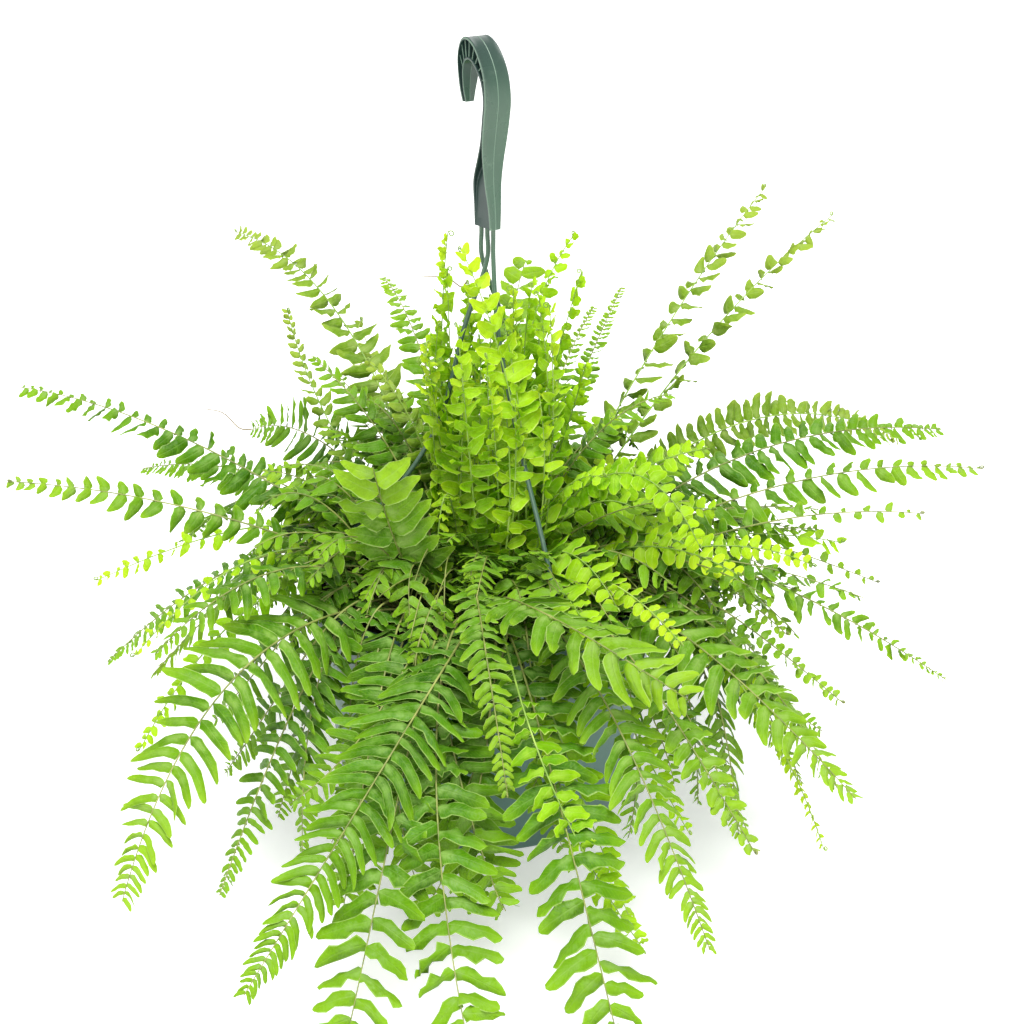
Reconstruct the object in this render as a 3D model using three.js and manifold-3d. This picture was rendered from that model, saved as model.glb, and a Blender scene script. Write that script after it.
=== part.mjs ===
// A Boston fern in a round plastic hanging basket: the pot with its rim, the growing mix that
// fills it, a moulded hook on three thin strands that clip under the rim, and the fronds.
// Millimetres, +Z up. The origin is the centre of the pot's flat base.
import * as THREE from "three";
import { mergeVertices } from "three/addons/utils/BufferGeometryUtils.js";
import Module from "manifold-3d";

const wasm = await Module();
wasm.setup();

// ---------------------------------------------------------------- driving dimensions
const CLEARANCE = 0.3; // between a piece and its seat
const CUT_MARGIN = 1; // how far a cut passes the face that it opens

const POT_HEIGHT = 165;
const POT_BASE_RADIUS = 103;
const POT_TOP_RADIUS = 122.5; // outside of the wall at the height of the rim
const POT_WALL = 2;
const POT_FLOOR = 2.5;
const POT_FOOT_CHAMFER = 2.5;
const RIM_RADIUS = 130;
const RIM_DEPTH = 14; // height of the rim's skirt
const RIM_THICKNESS = 1.8;
const RIM_EDGE_CHAMFER = 1;
const DRAIN_HOLES = 6;
const DRAIN_RADIUS = 4;
const DRAIN_RING_RADIUS = 68;
const DRAIN_SIDES = 10;
const POT_SIDES = 32;
const MIX_SIDES = 16; // each second corner of the pot's

const MIX_EDGE_HEIGHT = 151; // the growing mix at the wall
const MIX_TOP_HEIGHT = 154; // and under the plant
const MIX_MOUND_RADIUS = 95;
const STALK_DEPTH = 14; // how deep a stalk stands in the mix
const STALK_HOLE = 3.4; // side of the square hole that a stalk stands in

const HOOK_AZIMUTH = 124; // degrees, the way the hook opens
const HOOK_CENTRE = new THREE.Vector3(3, 0, 0); // the three strands hang round this line
const HOOK_STRAP = 1.8; // thickness of the outer strap
const HOOK_INNER_STRAP = 1.6;
const INNER_STRAP_SHARE = 0.9; // its width, as a share of the outer strap's
const INNER_STRAP_OVERHANG = 0.3; // the least that it stands out from the web
const HOOK_RIBS = 5;
const HOOK_RIB_SPAN = [0.5, 0.78]; // the first and the last rib, as shares of the stations
const HOOK_RIB_THICKNESS = 1.2;
const HOOK_RIB_WIDTH = 0.84; // as a share of the strap's
const HOOK_RIB_SINK = 0.6; // how deep a rib's edges stand in the straps
const HOOK_STEPS = 20;
const SOCKET_DEPTH = 7;
const SOCKET_SPACING = 7;

const STRAND_RADIUS = 1.6;
const STRAND_HOLE_RADIUS = 1.95; // in the rim and in the hook
const STRAND_SIDES = 8;
const STRAND_STEPS = 11;
const STRAND_RING_RADIUS = 125; // where the strands pass through the rim
const STRAND_KNOB_RADIUS = 2.3;
const STRAND_KNOB_HEIGHT = 4;
const STRAND_STUB = 4; // upright length over the rim and under the hook
const STRAND_STUB_LAP = 2; // how far a stub reaches into the slanting tube
const STRAND_PLUMB = 20; // height under the hook where a strand still hangs plumb

const RIB_HALF_WIDTH = [1.25, 0.55]; // of a frond's rib, at its root and its tip
const RIB_HALF_DEPTH = [1.0, 0.45];
const STALK_SEGMENTS = 2;
const BLADE_THICKNESS = 0.9;
const LEAFLET_CLEARANCE = 3.7; // between points taken on the leaflets of two fronds
const LEAFLET_SAMPLING = 3; // spacing of those points
const LOWEST_LEAF = 4; // height over the ground
const LEAF_MARGIN = 3; // between the leaflets and the pot or the growing mix

const rad = THREE.MathUtils.degToRad;
const lerp = THREE.MathUtils.lerp;

// ---------------------------------------------------------------- materials
const material = (name, color, roughness) =>
  Object.assign(new THREE.MeshStandardMaterial({ color, roughness, metalness: 0 }), { name });
const POT_PLASTIC = material("pot_plastic", 0x4d6a5f, 0.5);
const HANGER_PLASTIC = material("hanger_plastic", 0x3f6650, 0.4);
const GROWING_MIX = material("growing_mix", 0x3a2a1d, 0.95);
const FROND_MATERIAL = {
  mature: material("frond_mature", 0x3f7d1e, 0.5),
  light: material("frond_light", 0x5f9e2a, 0.45),
  young: material("frond_young", 0x86c022, 0.5),
  tender: material("frond_tender", 0xb4d82c, 0.55),
};

// ---------------------------------------------------------------- solids
// A closed geometry as a manifold-3d solid with its faces out.
function solid(geometry) {
  const bare = geometry.clone();
  for (const key of Object.keys(bare.attributes)) {
    if (key !== "position") bare.deleteAttribute(key);
  }
  const merged = mergeVertices(bare, 1e-4);
  const make = (triVerts) => new wasm.Manifold(new wasm.Mesh({
    numProp: 3,
    vertProperties: merged.attributes.position.array,
    triVerts,
  }));
  const triangles = new Uint32Array(merged.index.array);
  const made = make(triangles);
  return made.volume() > 0 ? made : make(triangles.reverse());
}

function piece(name, made, look) {
  const { vertProperties, triVerts } = made.getMesh();
  const geometry = new THREE.BufferGeometry()
    .setAttribute("position", new THREE.BufferAttribute(vertProperties, 3))
    .setIndex(new THREE.BufferAttribute(triVerts, 1));
  geometry.computeVertexNormals();
  return Object.assign(new THREE.Mesh(geometry, look), { name });
}

// A closed solid from a list of points and a flat list of triangle corners.
function faceted(points, index) {
  const positions = points.flatMap((p) => [p.x, p.y, p.z]);
  return solid(new THREE.BufferGeometry()
    .setAttribute("position", new THREE.Float32BufferAttribute(positions, 3))
    .setIndex(index));
}

// A solid turned about +Z from a profile of [radius, height] points.
function turned(profile, sides) {
  const points = profile.map(([r, z]) => new THREE.Vector2(r, z));
  return solid(new THREE.LatheGeometry(points, sides).rotateX(Math.PI / 2));
}

// An upright round post from height z0 to z1.
function post({ x, y }, z0, z1, radius, sides) {
  const geometry = new THREE.CylinderGeometry(radius, radius, z1 - z0, sides);
  return solid(geometry.rotateX(Math.PI / 2).translate(x, y, (z0 + z1) / 2));
}

function cylindrical(radius, azimuth, height) {
  return new THREE.Vector3(
    radius * Math.cos(rad(azimuth)), radius * Math.sin(rad(azimuth)), height);
}

// A closed loft through rings of the same number of points, with the given triangles as its ends.
function loft(rings, capTriangles) {
  const count = rings[0].length;
  const index = [];
  for (let i = 0; i + 1 < rings.length; i++) {
    for (let j = 0; j < count; j++) {
      const a = i * count + j;
      const b = i * count + (j + 1) % count;
      index.push(a, b, b + count, a, b + count, a + count);
    }
  }
  const last = (rings.length - 1) * count;
  for (const [a, b, c] of capTriangles) {
    index.push(a, c, b, last + a, last + b, last + c);
  }
  return faceted(rings.flat(), index);
}

// ---------------------------------------------------------------- pot and growing mix
const potWallRadius = (z) => lerp(POT_BASE_RADIUS, POT_TOP_RADIUS, z / POT_HEIGHT);

function pot() {
  const underRim = POT_HEIGHT - RIM_THICKNESS;
  const inside = (z) => potWallRadius(z) - POT_WALL;
  let made = turned([
    [0, 0],
    [POT_BASE_RADIUS - POT_FOOT_CHAMFER, 0],
    [POT_BASE_RADIUS, POT_FOOT_CHAMFER],
    [potWallRadius(underRim), underRim],
    [RIM_RADIUS - RIM_THICKNESS, underRim],
    [RIM_RADIUS - RIM_THICKNESS, POT_HEIGHT - RIM_DEPTH],
    [RIM_RADIUS, POT_HEIGHT - RIM_DEPTH],
    [RIM_RADIUS, POT_HEIGHT - RIM_EDGE_CHAMFER],
    [RIM_RADIUS - RIM_EDGE_CHAMFER, POT_HEIGHT],
    [inside(POT_HEIGHT), POT_HEIGHT],
    [inside(POT_FLOOR), POT_FLOOR],
    [0, POT_FLOOR],
  ], POT_SIDES);
  for (let i = 0; i < DRAIN_HOLES; i++) {
    const at = cylindrical(DRAIN_RING_RADIUS, i * 360 / DRAIN_HOLES, 0);
    const hole = post(at, -CUT_MARGIN, POT_FLOOR + CUT_MARGIN, DRAIN_RADIUS, DRAIN_SIDES);
    made = made.subtract(hole);
  }
  for (const { azimuth } of STRANDS) {
    const at = cylindrical(STRAND_RING_RADIUS, azimuth, 0);
    const [low, high] = [underRim - CUT_MARGIN, POT_HEIGHT + CUT_MARGIN];
    made = made.subtract(post(at, low, high, STRAND_HOLE_RADIUS, STRAND_SIDES));
  }
  return piece("pot", made, POT_PLASTIC);
}

// The mix fills the pot to just under its rim and has a square hole for each stalk.
function growingMix(feet) {
  const radius = (z) => potWallRadius(z) - POT_WALL - CLEARANCE;
  const floor = POT_FLOOR + CLEARANCE;
  let made = turned([
    [0, floor],
    [radius(floor), floor],
    [radius(MIX_EDGE_HEIGHT), MIX_EDGE_HEIGHT],
    [MIX_MOUND_RADIUS, MIX_TOP_HEIGHT],
    [0, MIX_TOP_HEIGHT],
  ], MIX_SIDES);
  const bottom = MIX_TOP_HEIGHT - STALK_DEPTH - CLEARANCE;
  const top = MIX_TOP_HEIGHT + CUT_MARGIN;
  for (const [out, azimuth] of feet) {
    const at = cylindrical(out, azimuth, (bottom + top) / 2);
    const hole = new THREE.BoxGeometry(STALK_HOLE, STALK_HOLE, top - bottom);
    hole.rotateZ(rad(azimuth)).translate(at.x, at.y, at.z);
    made = made.subtract(solid(hole));
  }
  return piece("growing_mix", made, GROWING_MIX);
}

// ---------------------------------------------------------------- hook
// Stations along the outer strap, from the lower end over the bend to the tip: distance along the
// way the hook opens, height, depth to the inner strap's face, strap width, web thickness.
const HOOK_STATIONS = [
  [-10, 411, 20, 8, 6.4],
  [-9.5, 424, 19, 9.5, 6.4],
  [-7.8, 441, 16, 12.5, 6],
  [-8, 456, 9, 16, 3],
  [-9.5, 468, 5.2, 18.5, 2.2],
  [-12, 482, 4.8, 19.5, 2.2],
  [-13.6, 495, 5, 19.5, 2.2],
  [-11.6, 509, 6.8, 19, 2.2],
  [-6, 520, 9, 18.5, 2.2],
  [2, 528.5, 11, 17.5, 2.2],
  [11, 532, 11.5, 16.5, 2.2],
  [18.5, 529, 10, 15.5, 2.2],
  [23, 519, 7, 14, 2.2],
  [24, 506, 5, 11.5, 2.2],
  [24, 495, 4.4, 9.5, 2.2],
  [23.5, 486, 4, 8, 2.2],
];
const HOOK_FOOT_HEIGHT = HOOK_STATIONS[0][1];
const HOOK_OPENING = cylindrical(1, HOOK_AZIMUTH, 0);
const HOOK_ACROSS = cylindrical(1, HOOK_AZIMUTH - 90, 0);
// The ends of the I section: outer strap, web, inner strap, by the numbers of the ring's points.
const HOOK_CAPS = [
  [0, 1, 2], [0, 2, 9], [0, 9, 10], [0, 10, 11],
  [2, 3, 8], [2, 8, 9],
  [3, 4, 5], [3, 5, 6], [3, 6, 7], [3, 7, 8],
];

function hookPoint(along, height, across) {
  return HOOK_CENTRE.clone()
    .addScaledVector(HOOK_OPENING, along)
    .addScaledVector(HOOK_ACROSS, across)
    .setZ(height);
}

// The stations as two smooth curves with the same parameter: the strap's line and its sizes.
const smooth = (points) => new THREE.CatmullRomCurve3(
  points.map((p) => new THREE.Vector3(...p)), false, "catmullrom", 0.5);
const hookLine = smooth(HOOK_STATIONS.map(([along, height]) => [along, height, 0]));
const hookSizes = smooth(HOOK_STATIONS.map(([, , ...sizes]) => sizes));

// The sizes at a share t of the stations, the strap's direction there, and a function that places
// a point by its distance across the strap and its depth towards the inside of the bend.
function hookStation(t) {
  const at = hookLine.getPoint(t);
  const tangent = hookLine.getTangent(t);
  const [depth, width, web] = hookSizes.getPoint(t).toArray();
  const inward = new THREE.Vector2(tangent.y, -tangent.x).normalize();
  const place = (across, deep) =>
    hookPoint(at.x + inward.x * deep, at.y + inward.y * deep, across);
  const along = HOOK_OPENING.clone().multiplyScalar(tangent.x).setZ(tangent.y).normalize();
  return { depth, width, web, along, place };
}

function hookSection(t) {
  const { depth, width, web, place } = hookStation(t);
  const strap = width / 2;
  const innerStrap = Math.max(strap * INNER_STRAP_SHARE, web / 2 + INNER_STRAP_OVERHANG);
  const half = [
    [strap, 0], [strap, HOOK_STRAP], [web / 2, HOOK_STRAP], [web / 2, depth - HOOK_INNER_STRAP],
    [innerStrap, depth - HOOK_INNER_STRAP], [innerStrap, depth],
  ];
  const mirrored = half.map(([across, deep]) => [-across, deep]).reverse();
  return [...half, ...mirrored].map(([across, deep]) => place(across, deep));
}

// A small plate across the strap that stiffens the bend.
function hookRib(t) {
  const { depth, width, along, place } = hookStation(t);
  const side = width * HOOK_RIB_WIDTH / 2;
  const [near, far] = [HOOK_RIB_SINK, depth - HOOK_RIB_SINK];
  const ring = (shift) => [[side, near], [-side, near], [-side, far], [side, far]].map(
    ([across, deep]) => place(across, deep).addScaledVector(along, shift));
  const rings = [ring(-HOOK_RIB_THICKNESS / 2), ring(HOOK_RIB_THICKNESS / 2)];
  return loft(rings, [[0, 1, 2], [0, 2, 3]]);
}

function hook() {
  const rings = Array.from({ length: HOOK_STEPS + 1 }, (_, i) => hookSection(i / HOOK_STEPS));
  let made = loft(rings, HOOK_CAPS);
  for (let i = 0; i < HOOK_RIBS; i++) {
    made = made.add(hookRib(lerp(...HOOK_RIB_SPAN, i / (HOOK_RIBS - 1))));
  }
  for (const { socket } of STRANDS) {
    const at = hookPoint(socket, 0, 0);
    const low = HOOK_FOOT_HEIGHT - 3 * CUT_MARGIN; // the foot is cut at a slant
    const hole = post(at, low, HOOK_FOOT_HEIGHT + SOCKET_DEPTH, STRAND_HOLE_RADIUS, STRAND_SIDES);
    made = made.subtract(hole);
  }
  return piece("hook", made, HANGER_PLASTIC);
}

// ---------------------------------------------------------------- strands
// Each strand's place in the rim, its socket in the hook, and the points that it bows through, as
// [distance from the pot's axis, height].
const STRANDS = [
  {
    name: "strand_right", azimuth: -65, socket: -SOCKET_SPACING,
    bow: [[24, 345], [58, 277], [91, 226]],
  },
  {
    name: "strand_left", azimuth: 175, socket: 0,
    bow: [[12, 345], [34, 268], [76, 208]],
  },
  {
    name: "strand_back", azimuth: 55, socket: SOCKET_SPACING,
    bow: [[22, 345], [56, 277], [91, 222]],
  },
];

function strandCurve({ azimuth, socket, bow }) {
  return new THREE.CatmullRomCurve3([
    hookPoint(socket, HOOK_FOOT_HEIGHT - STRAND_STUB, 0),
    hookPoint(socket, HOOK_FOOT_HEIGHT - STRAND_PLUMB, 0),
    ...bow.map(([out, height]) => cylindrical(out, azimuth, height)),
    cylindrical(STRAND_RING_RADIUS, azimuth, POT_HEIGHT + STRAND_STUB),
  ], false, "centripetal");
}

// A slanting tube between two upright stubs, one in the hook's socket and one through the rim,
// with a knob under the rim that it hangs from.
function strand(data) {
  const section = new THREE.Shape().absarc(0, 0, STRAND_RADIUS, 0, 2 * Math.PI, false);
  const tube = solid(new THREE.ExtrudeGeometry(section, {
    steps: STRAND_STEPS,
    curveSegments: STRAND_SIDES / 2,
    bevelEnabled: false,
    extrudePath: strandCurve(data),
  }));
  const socket = hookPoint(data.socket, 0, 0);
  const upper = post(socket, HOOK_FOOT_HEIGHT - STRAND_STUB - STRAND_STUB_LAP,
    HOOK_FOOT_HEIGHT + SOCKET_DEPTH - CLEARANCE, STRAND_RADIUS, STRAND_SIDES);
  const hole = cylindrical(STRAND_RING_RADIUS, data.azimuth, 0);
  const underRim = POT_HEIGHT - RIM_THICKNESS - CLEARANCE;
  const knobFoot = underRim - STRAND_KNOB_HEIGHT;
  const lower = post(hole, knobFoot, POT_HEIGHT + STRAND_STUB + STRAND_STUB_LAP,
    STRAND_RADIUS, STRAND_SIDES);
  const knob = post(hole, knobFoot, underRim, STRAND_KNOB_RADIUS, STRAND_SIDES);
  return piece(data.name, tube.add(upper).add(lower).add(knob), HANGER_PLASTIC);
}

// ---------------------------------------------------------------- fronds
// One row for each frond: name; the stalk's foot in the mix as [radius, azimuth]; the points that
// the rib bends towards, with its tip last, as [radius, azimuth, height]; the length of its longest
// leaflet; its kind; and the turn of its blade about the rib in degrees. Fronds that share a name
// spring from one foot and are one piece.
const FRONDS = [
  ["crown_13", [45, -134], [[95, -125, 190], [128, -122, 285]], 28, "light", 0],
  ["crown_13", [45, -134], [[88, -152, 240], [140, -162, 182]], 20, "mature", 0],
  ["front_1", [38, -92], [[225, -91, 235], [354, -112, 50]], 38, "light", 0],
  ["left_7", [55, 226], [[235, 226, 238], [318, 226, 45]], 38, "light", 0],
  ["front_9", [30, -80], [[215, -88, 262], [250, -60, 178]], 25, "light", 0],
  ["front_8", [25, -104], [[190, -92, 275], [235, -86, 125]], 16, "young", 0],
  ["front_8", [25, -104], [[100, -104, 232], [156, -106, 168]], 22, "mature", 0],
  ["crown_7", [34, -70], [[104, -64, 290], [24, -125, 402]], 18, "tender", 0],
  ["front_5", [50, -74], [[130, -71, 218], [240, -68, 165], [328, -66, 60]], 30, "light", 0],
  ["front_3", [72, -96], [[125, -99, 215], [245, -101, 160], [368, -90, 18]], 28, "mature", 0],
  ["front_4", [66, -84], [[125, -83, 212], [235, -80, 150], [368, -77, 20]], 30, "mature", 0],
  ["right_1", [50, -42], [[125, -43, 212], [220, -43, 165], [310, -42, 105]], 24, "light", 0],
  ["right_1", [50, -42], [[125, -36, 220], [225, -36, 155], [281, -39, 50]], 10, "tender", 0],
  ["front_2", [78, -108], [[125, -102, 215], [250, -100, 150], [372, -102, 20]], 30, "mature", 0],
  ["left_9", [78, 234], [[110, 229, 214], [165, 229, 180], [255, 229, 25]], 24, "mature", 0],
  ["left_9", [78, 234], [[115, 238, 214], [160, 237, 190], [158, 236, 75]], 20, "mature", 0],
  ["right_7", [64, 21], [[190, 20, 262], [362, 20, 225]], 24, "mature", 25],
  ["right_7", [64, 21], [[108, 12, 245], [160, 10, 246]], 16, "mature", 30],
  ["right_6", [70, 36], [[215, 33, 290], [395, 33, 183]], 22, "light", 60],
  ["left_1", [62, 159], [[235, 159, 255], [375, 159, 255]], 24, "mature", -25],
  ["left_3", [62, 177], [[190, 179, 222], [328, 179, 230]], 20, "young", -45],
  ["left_3", [62, 177], [[108, 171, 236], [160, 169, 228]], 16, "mature", -30],
  ["left_8", [74, 205], [[120, 204, 212], [190, 204, 180], [252, 204, 80]], 16, "young", -20],
  ["left_6", [66, 185], [[120, 183, 212], [190, 183, 178], [268, 183, 100]], 20, "mature", -15],
  ["left_6", [66, 185], [[120, 187, 218], [185, 190, 190], [245, 190, 120]], 12, "tender", -30],
  ["left_11", [64, 216], [[150, 215, 250], [250, 214, 170]], 26, "mature", 0],
  ["left_11", [64, 216], [[108, 221, 222], [162, 219, 158]], 20, "mature", 0],
  ["front_6", [84, -78], [[118, -80, 215], [180, -78, 150], [268, -70, 45]], 18, "young", 0],
  ["front_7", [52, -60], [[118, -63, 226], [175, -65, 160], [243, -58, 80]], 15, "young", 0],
  ["front_10", [76, -53], [[125, -58, 212], [210, -59, 170], [300, -57, 95]], 18, "young", 0],
  ["front_10", [76, -53], [[118, -48, 214], [180, -48, 152], [250, -48, 70]], 20, "mature", 0],
  ["right_2", [68, -31], [[120, -32, 212], [205, -32, 175], [272, -32, 75]], 20, "mature", 0],
  ["right_12", [80, -8], [[120, -9, 212], [220, -9, 172], [323, -9, 105]], 18, "mature", 25],
  ["right_10", [78, 13], [[120, 12, 210], [210, 12, 170], [295, 12, 128]], 12, "young", 35],
  ["right_13", [74, -22], [[120, -19, 212], [165, -19, 190], [215, -19, 150]], 10, "young", 25],
  ["right_13", [74, -22], [[120, -25, 212], [180, -24, 170], [257, -21, 110]], 10, "young", 25],
  ["right_8", [56, 5], [[205, 5, 250], [350, 5, 230]], 18, "tender", 40],
  ["right_9", [70, -3], [[190, -2, 222], [300, -3, 215]], 12, "young", 35],
  ["right_9", [70, -3], [[100, -18, 228], [150, -22, 206]], 12, "young", 0],
  ["right_11", [48, -14], [[160, -13, 222], [227, -12, 190]], 10, "tender", 30],
  ["right_4", [60, 50], [[190, 49, 300], [330, 49, 380]], 15, "young", 0],
  ["right_5", [50, 30], [[165, 32, 310], [305, 33, 378]], 15, "young", 0],
  ["left_2", [70, 150], [[190, 149, 226], [315, 149, 178]], 22, "mature", -20],
  ["left_4", [76, 168], [[120, 168, 215], [200, 168, 180], [293, 168, 130]], 12, "tender", -35],
  ["back_left_5", [66, 132], [[190, 131, 240], [290, 131, 190]], 24, "mature", -60],
  ["back_left_1", [60, 124], [[165, 124, 350], [368, 124, 330]], 22, "young", 0],
  ["back_left_2", [55, 138], [[185, 134, 215], [225, 132, 305]], 12, "young", 0],
  ["back_left_3", [45, 114], [[165, 116, 200], [215, 117, 290]], 13, "tender", 0],
  ["back_left_3", [45, 114], [[60, 142, 280], [92, 152, 305]], 12, "young", 0],
  ["back_left_4", [42, 103], [[150, 108, 310], [255, 109, 310]], 16, "mature", 0],
  ["crown_1", [22, -50], [[110, -68, 230], [185, -67, 190]], 14, "young", 0],
  ["crown_1", [22, -50], [[62, -44, 262], [104, -40, 262]], 13, "young", 0],
  ["crown_1", [22, -50], [[92, -56, 250], [142, -52, 188]], 18, "young", 0],
  ["crown_2", [38, -38], [[110, -51, 230], [195, -50, 182]], 8, "tender", 0],
  ["crown_2", [38, -38], [[110, -29, 235], [192, -30, 205]], 12, "tender", 0],
  ["crown_4", [34, -2], [[100, -3, 222], [158, -3, 215]], 10, "young", 20],
  ["crown_4", [34, -2], [[80, -9, 250], [150, -9, 265]], 12, "young", 20],
  ["crown_4", [34, -2], [[70, 15, 262], [100, 18, 226]], 10, "tender", 0],
  ["crown_6", [16, -20], [[110, -36, 330], [172, -36, 228]], 10, "young", 0],
  ["crown_6", [16, -20], [[84, -14, 270], [126, -17, 204]], 15, "young", 0],
  ["crown_8", [30, 130], [[42, 150, 290], [42, 125, 398]], 14, "tender", 0],
  ["crown_8", [30, 130], [[25, 90, 270], [34, 110, 365]], 12, "young", 0],
  ["crown_8", [30, 130], [[34, 205, 280], [40, 200, 335]], 12, "tender", 0],
  ["crown_10", [36, 59], [[52, 75, 330], [119, 58, 380]], 14, "young", 0],
  ["crown_10", [36, 59], [[44, 15, 300], [66, 9, 378]], 14, "young", 0],
  ["crown_10", [36, 59], [[56, 20, 240], [70, -14, 322]], 12, "young", 0],
  ["crown_12", [42, 70], [[70, 85, 300], [140, 78, 352]], 16, "mature", 0],
  ["crown_12", [42, 70], [[80, 54, 290], [150, 58, 320]], 14, "mature", 0],
  ["back_right_1", [64, 64], [[150, 67, 240], [275, 67, 300]], 14, "mature", 0],
  ["crown_14", [22, -128], [[60, -115, 320], [83, -113, 178]], 9, "tender", 0],
  ["crown_14", [22, -128], [[24, -112, 230], [22, -104, 262]], 10, "tender", 0],
  ["back_1", [62, 80], [[170, 74, 255], [320, 80, 110]], 26, "mature", 0],
  ["back_2", [62, 93], [[190, 93, 240], [345, 93, 90]], 28, "light", 0],
  ["back_3", [66, 107], [[180, 106, 240], [330, 106, 120]], 26, "mature", 0],
  ["back_4", [74, 119], [[170, 120, 235], [300, 120, 60]], 24, "mature", 0],
  ["back_5", [72, 142], [[180, 141, 232], [320, 141, 100]], 26, "mature", 0],
  ["back_6", [74, 56], [[170, 57, 235], [310, 57, 80]], 26, "mature", 0],
  ["back_7", [80, 43], [[180, 43, 242], [310, 42, 90]], 24, "light", 0],
];

// How far apart a kind's leaflets are along the rib, the least and the most of them on a side, how
// much they droop, the share of the rib that is bare stalk, and whether the two sides alternate.
const KINDS = {
  mature: { spacing: 28, count: [5, 9], droop: 0.22, bare: 0.24, alternate: false },
  light: { spacing: 27, count: [6, 10], droop: 0.2, bare: 0.24, alternate: false },
  young: { spacing: 21, count: [5, 10], droop: 0.1, bare: 0.22, alternate: true },
  tender: { spacing: 20, count: [5, 9], droop: 0.05, bare: 0.2, alternate: true },
};
// The outer corners of a leaflet, aft and fore: [share of the step along the rib, share of the
// length out from the rib, share of the droop].
const PAIRED_CORNERS = [[0.3, 0.68, 0.5], [0.72, 1, 1]];
const ALTERNATE_CORNERS = [[0.12, 0.72, 0.5], [0.8, 1, 1]];
// What a leaflet tries, in turn, to stay clear of other fronds: [share of its length, extra droop].
const LEAFLET_FITS = [
  [1, 0], [1, 0.25], [1, -0.25], [0.8, 0], [0.8, 0.3], [0.8, -0.3],
  [0.62, 0], [0.62, 0.35], [0.62, -0.35], [0.45, 0], [0.45, 0.4], [0.3, 0],
];
// The first leaflet's length, the last one's and the stretch of the longest ones, as shares.
const FIRST_LEAFLET = 0.6;
const LAST_LEAFLET = 0.22;
const LONGEST_STRETCH = [0.35, 0.5];
const TAPER = 1.4;

// Points already taken, in a grid of cells as wide as the clearance, each with its owner.
const taken = new Map();
const cellOf = (p) => [p.x, p.y, p.z].map((v) => Math.floor(v / LEAFLET_CLEARANCE));

function take(p, owner) {
  const key = cellOf(p).join();
  if (!taken.has(key)) taken.set(key, []);
  taken.get(key).push([p, owner]);
}

function isClear(p, owner) {
  const [i, j, k] = cellOf(p);
  for (let x = i - 1; x <= i + 1; x++) {
    for (let y = j - 1; y <= j + 1; y++) {
      for (let z = k - 1; z <= k + 1; z++) {
        for (const [q, other] of taken.get([x, y, z].join()) ?? []) {
          if (other !== owner && p.distanceTo(q) < LEAFLET_CLEARANCE) return false;
        }
      }
    }
  }
  return true;
}

// Above the growing mix, over or outside the pot's rim, and off the ground.
function isFree(p) {
  const radius = Math.hypot(p.x, p.y);
  if (radius < POT_TOP_RADIUS - POT_WALL - LEAF_MARGIN) return p.z > MIX_TOP_HEIGHT + LEAF_MARGIN;
  const besideRim = radius > RIM_RADIUS + LEAF_MARGIN;
  return p.z > LOWEST_LEAF && (besideRim || p.z > POT_HEIGHT + LEAF_MARGIN);
}

// Length of a leaflet at a share f of the leafy stretch, as a share of the longest.
function leafletShare(f) {
  const [from, to] = LONGEST_STRETCH;
  const rise = lerp(FIRST_LEAFLET, 1, Math.sin(Math.min(1, f / from) * Math.PI / 2));
  const fall = lerp(1, LAST_LEAFLET, Math.max(0, (f - to) / (1 - to)) ** TAPER);
  return rise * fall;
}

// A frond's rib: stations from the foot to the tip, each with its frame and half sizes.
function ribOf([name, foot, bends, leaflet, kind, roll]) {
  const root = cylindrical(...foot, MIX_TOP_HEIGHT + CUT_MARGIN);
  const points = [root, ...bends.map((bend) => cylindrical(...bend))];
  const Curve = bends.length === 2 ? THREE.QuadraticBezierCurve3 : THREE.CubicBezierCurve3;
  const curve = new Curve(...points);
  const { spacing, count: [least, most], bare } = KINDS[kind];
  const leafyLength = curve.getLength() * (1 - bare);
  const count = THREE.MathUtils.clamp(Math.round(leafyLength / spacing), least, most);
  const shares = [];
  for (let i = 0; i < STALK_SEGMENTS; i++) shares.push(bare * i / STALK_SEGMENTS);
  for (let i = 0; i <= count; i++) shares.push(Math.min(1, lerp(bare, 1, i / count)));

  const level = cylindrical(1, bends[0][1] + 90, 0);
  const stations = shares.map((share) => {
    const along = curve.getTangentAt(share);
    const side = level.clone().addScaledVector(along, -level.dot(along)).normalize();
    side.applyAxisAngle(along, rad(roll) * Math.min(1, share / bare));
    return {
      at: curve.getPointAt(share),
      side,
      up: along.clone().cross(side),
      width: lerp(...RIB_HALF_WIDTH, share),
      depth: lerp(...RIB_HALF_DEPTH, share),
    };
  });
  // the stalk stands upright in the mix before it bends
  const side = cylindrical(1, foot[1] + 90, 0);
  const up = new THREE.Vector3(0, 0, 1).cross(side);
  Object.assign(stations[0], { side, up });
  const buried = root.clone().setZ(MIX_TOP_HEIGHT - STALK_DEPTH);
  stations.unshift({ ...stations[0], at: buried });
  return { name, kind, leaflet, curve, stations, count, first: STALK_SEGMENTS + 1 };
}

// The four corners of a rib's section: left and right of the top, right and left below.
function ribRing({ at, side, up, width, depth }) {
  return [[1, 1], [-1, 1], [-1, -1], [1, -1]].map(([s, u]) =>
    at.clone().addScaledVector(side, s * width).addScaledVector(up, u * depth));
}

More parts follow.
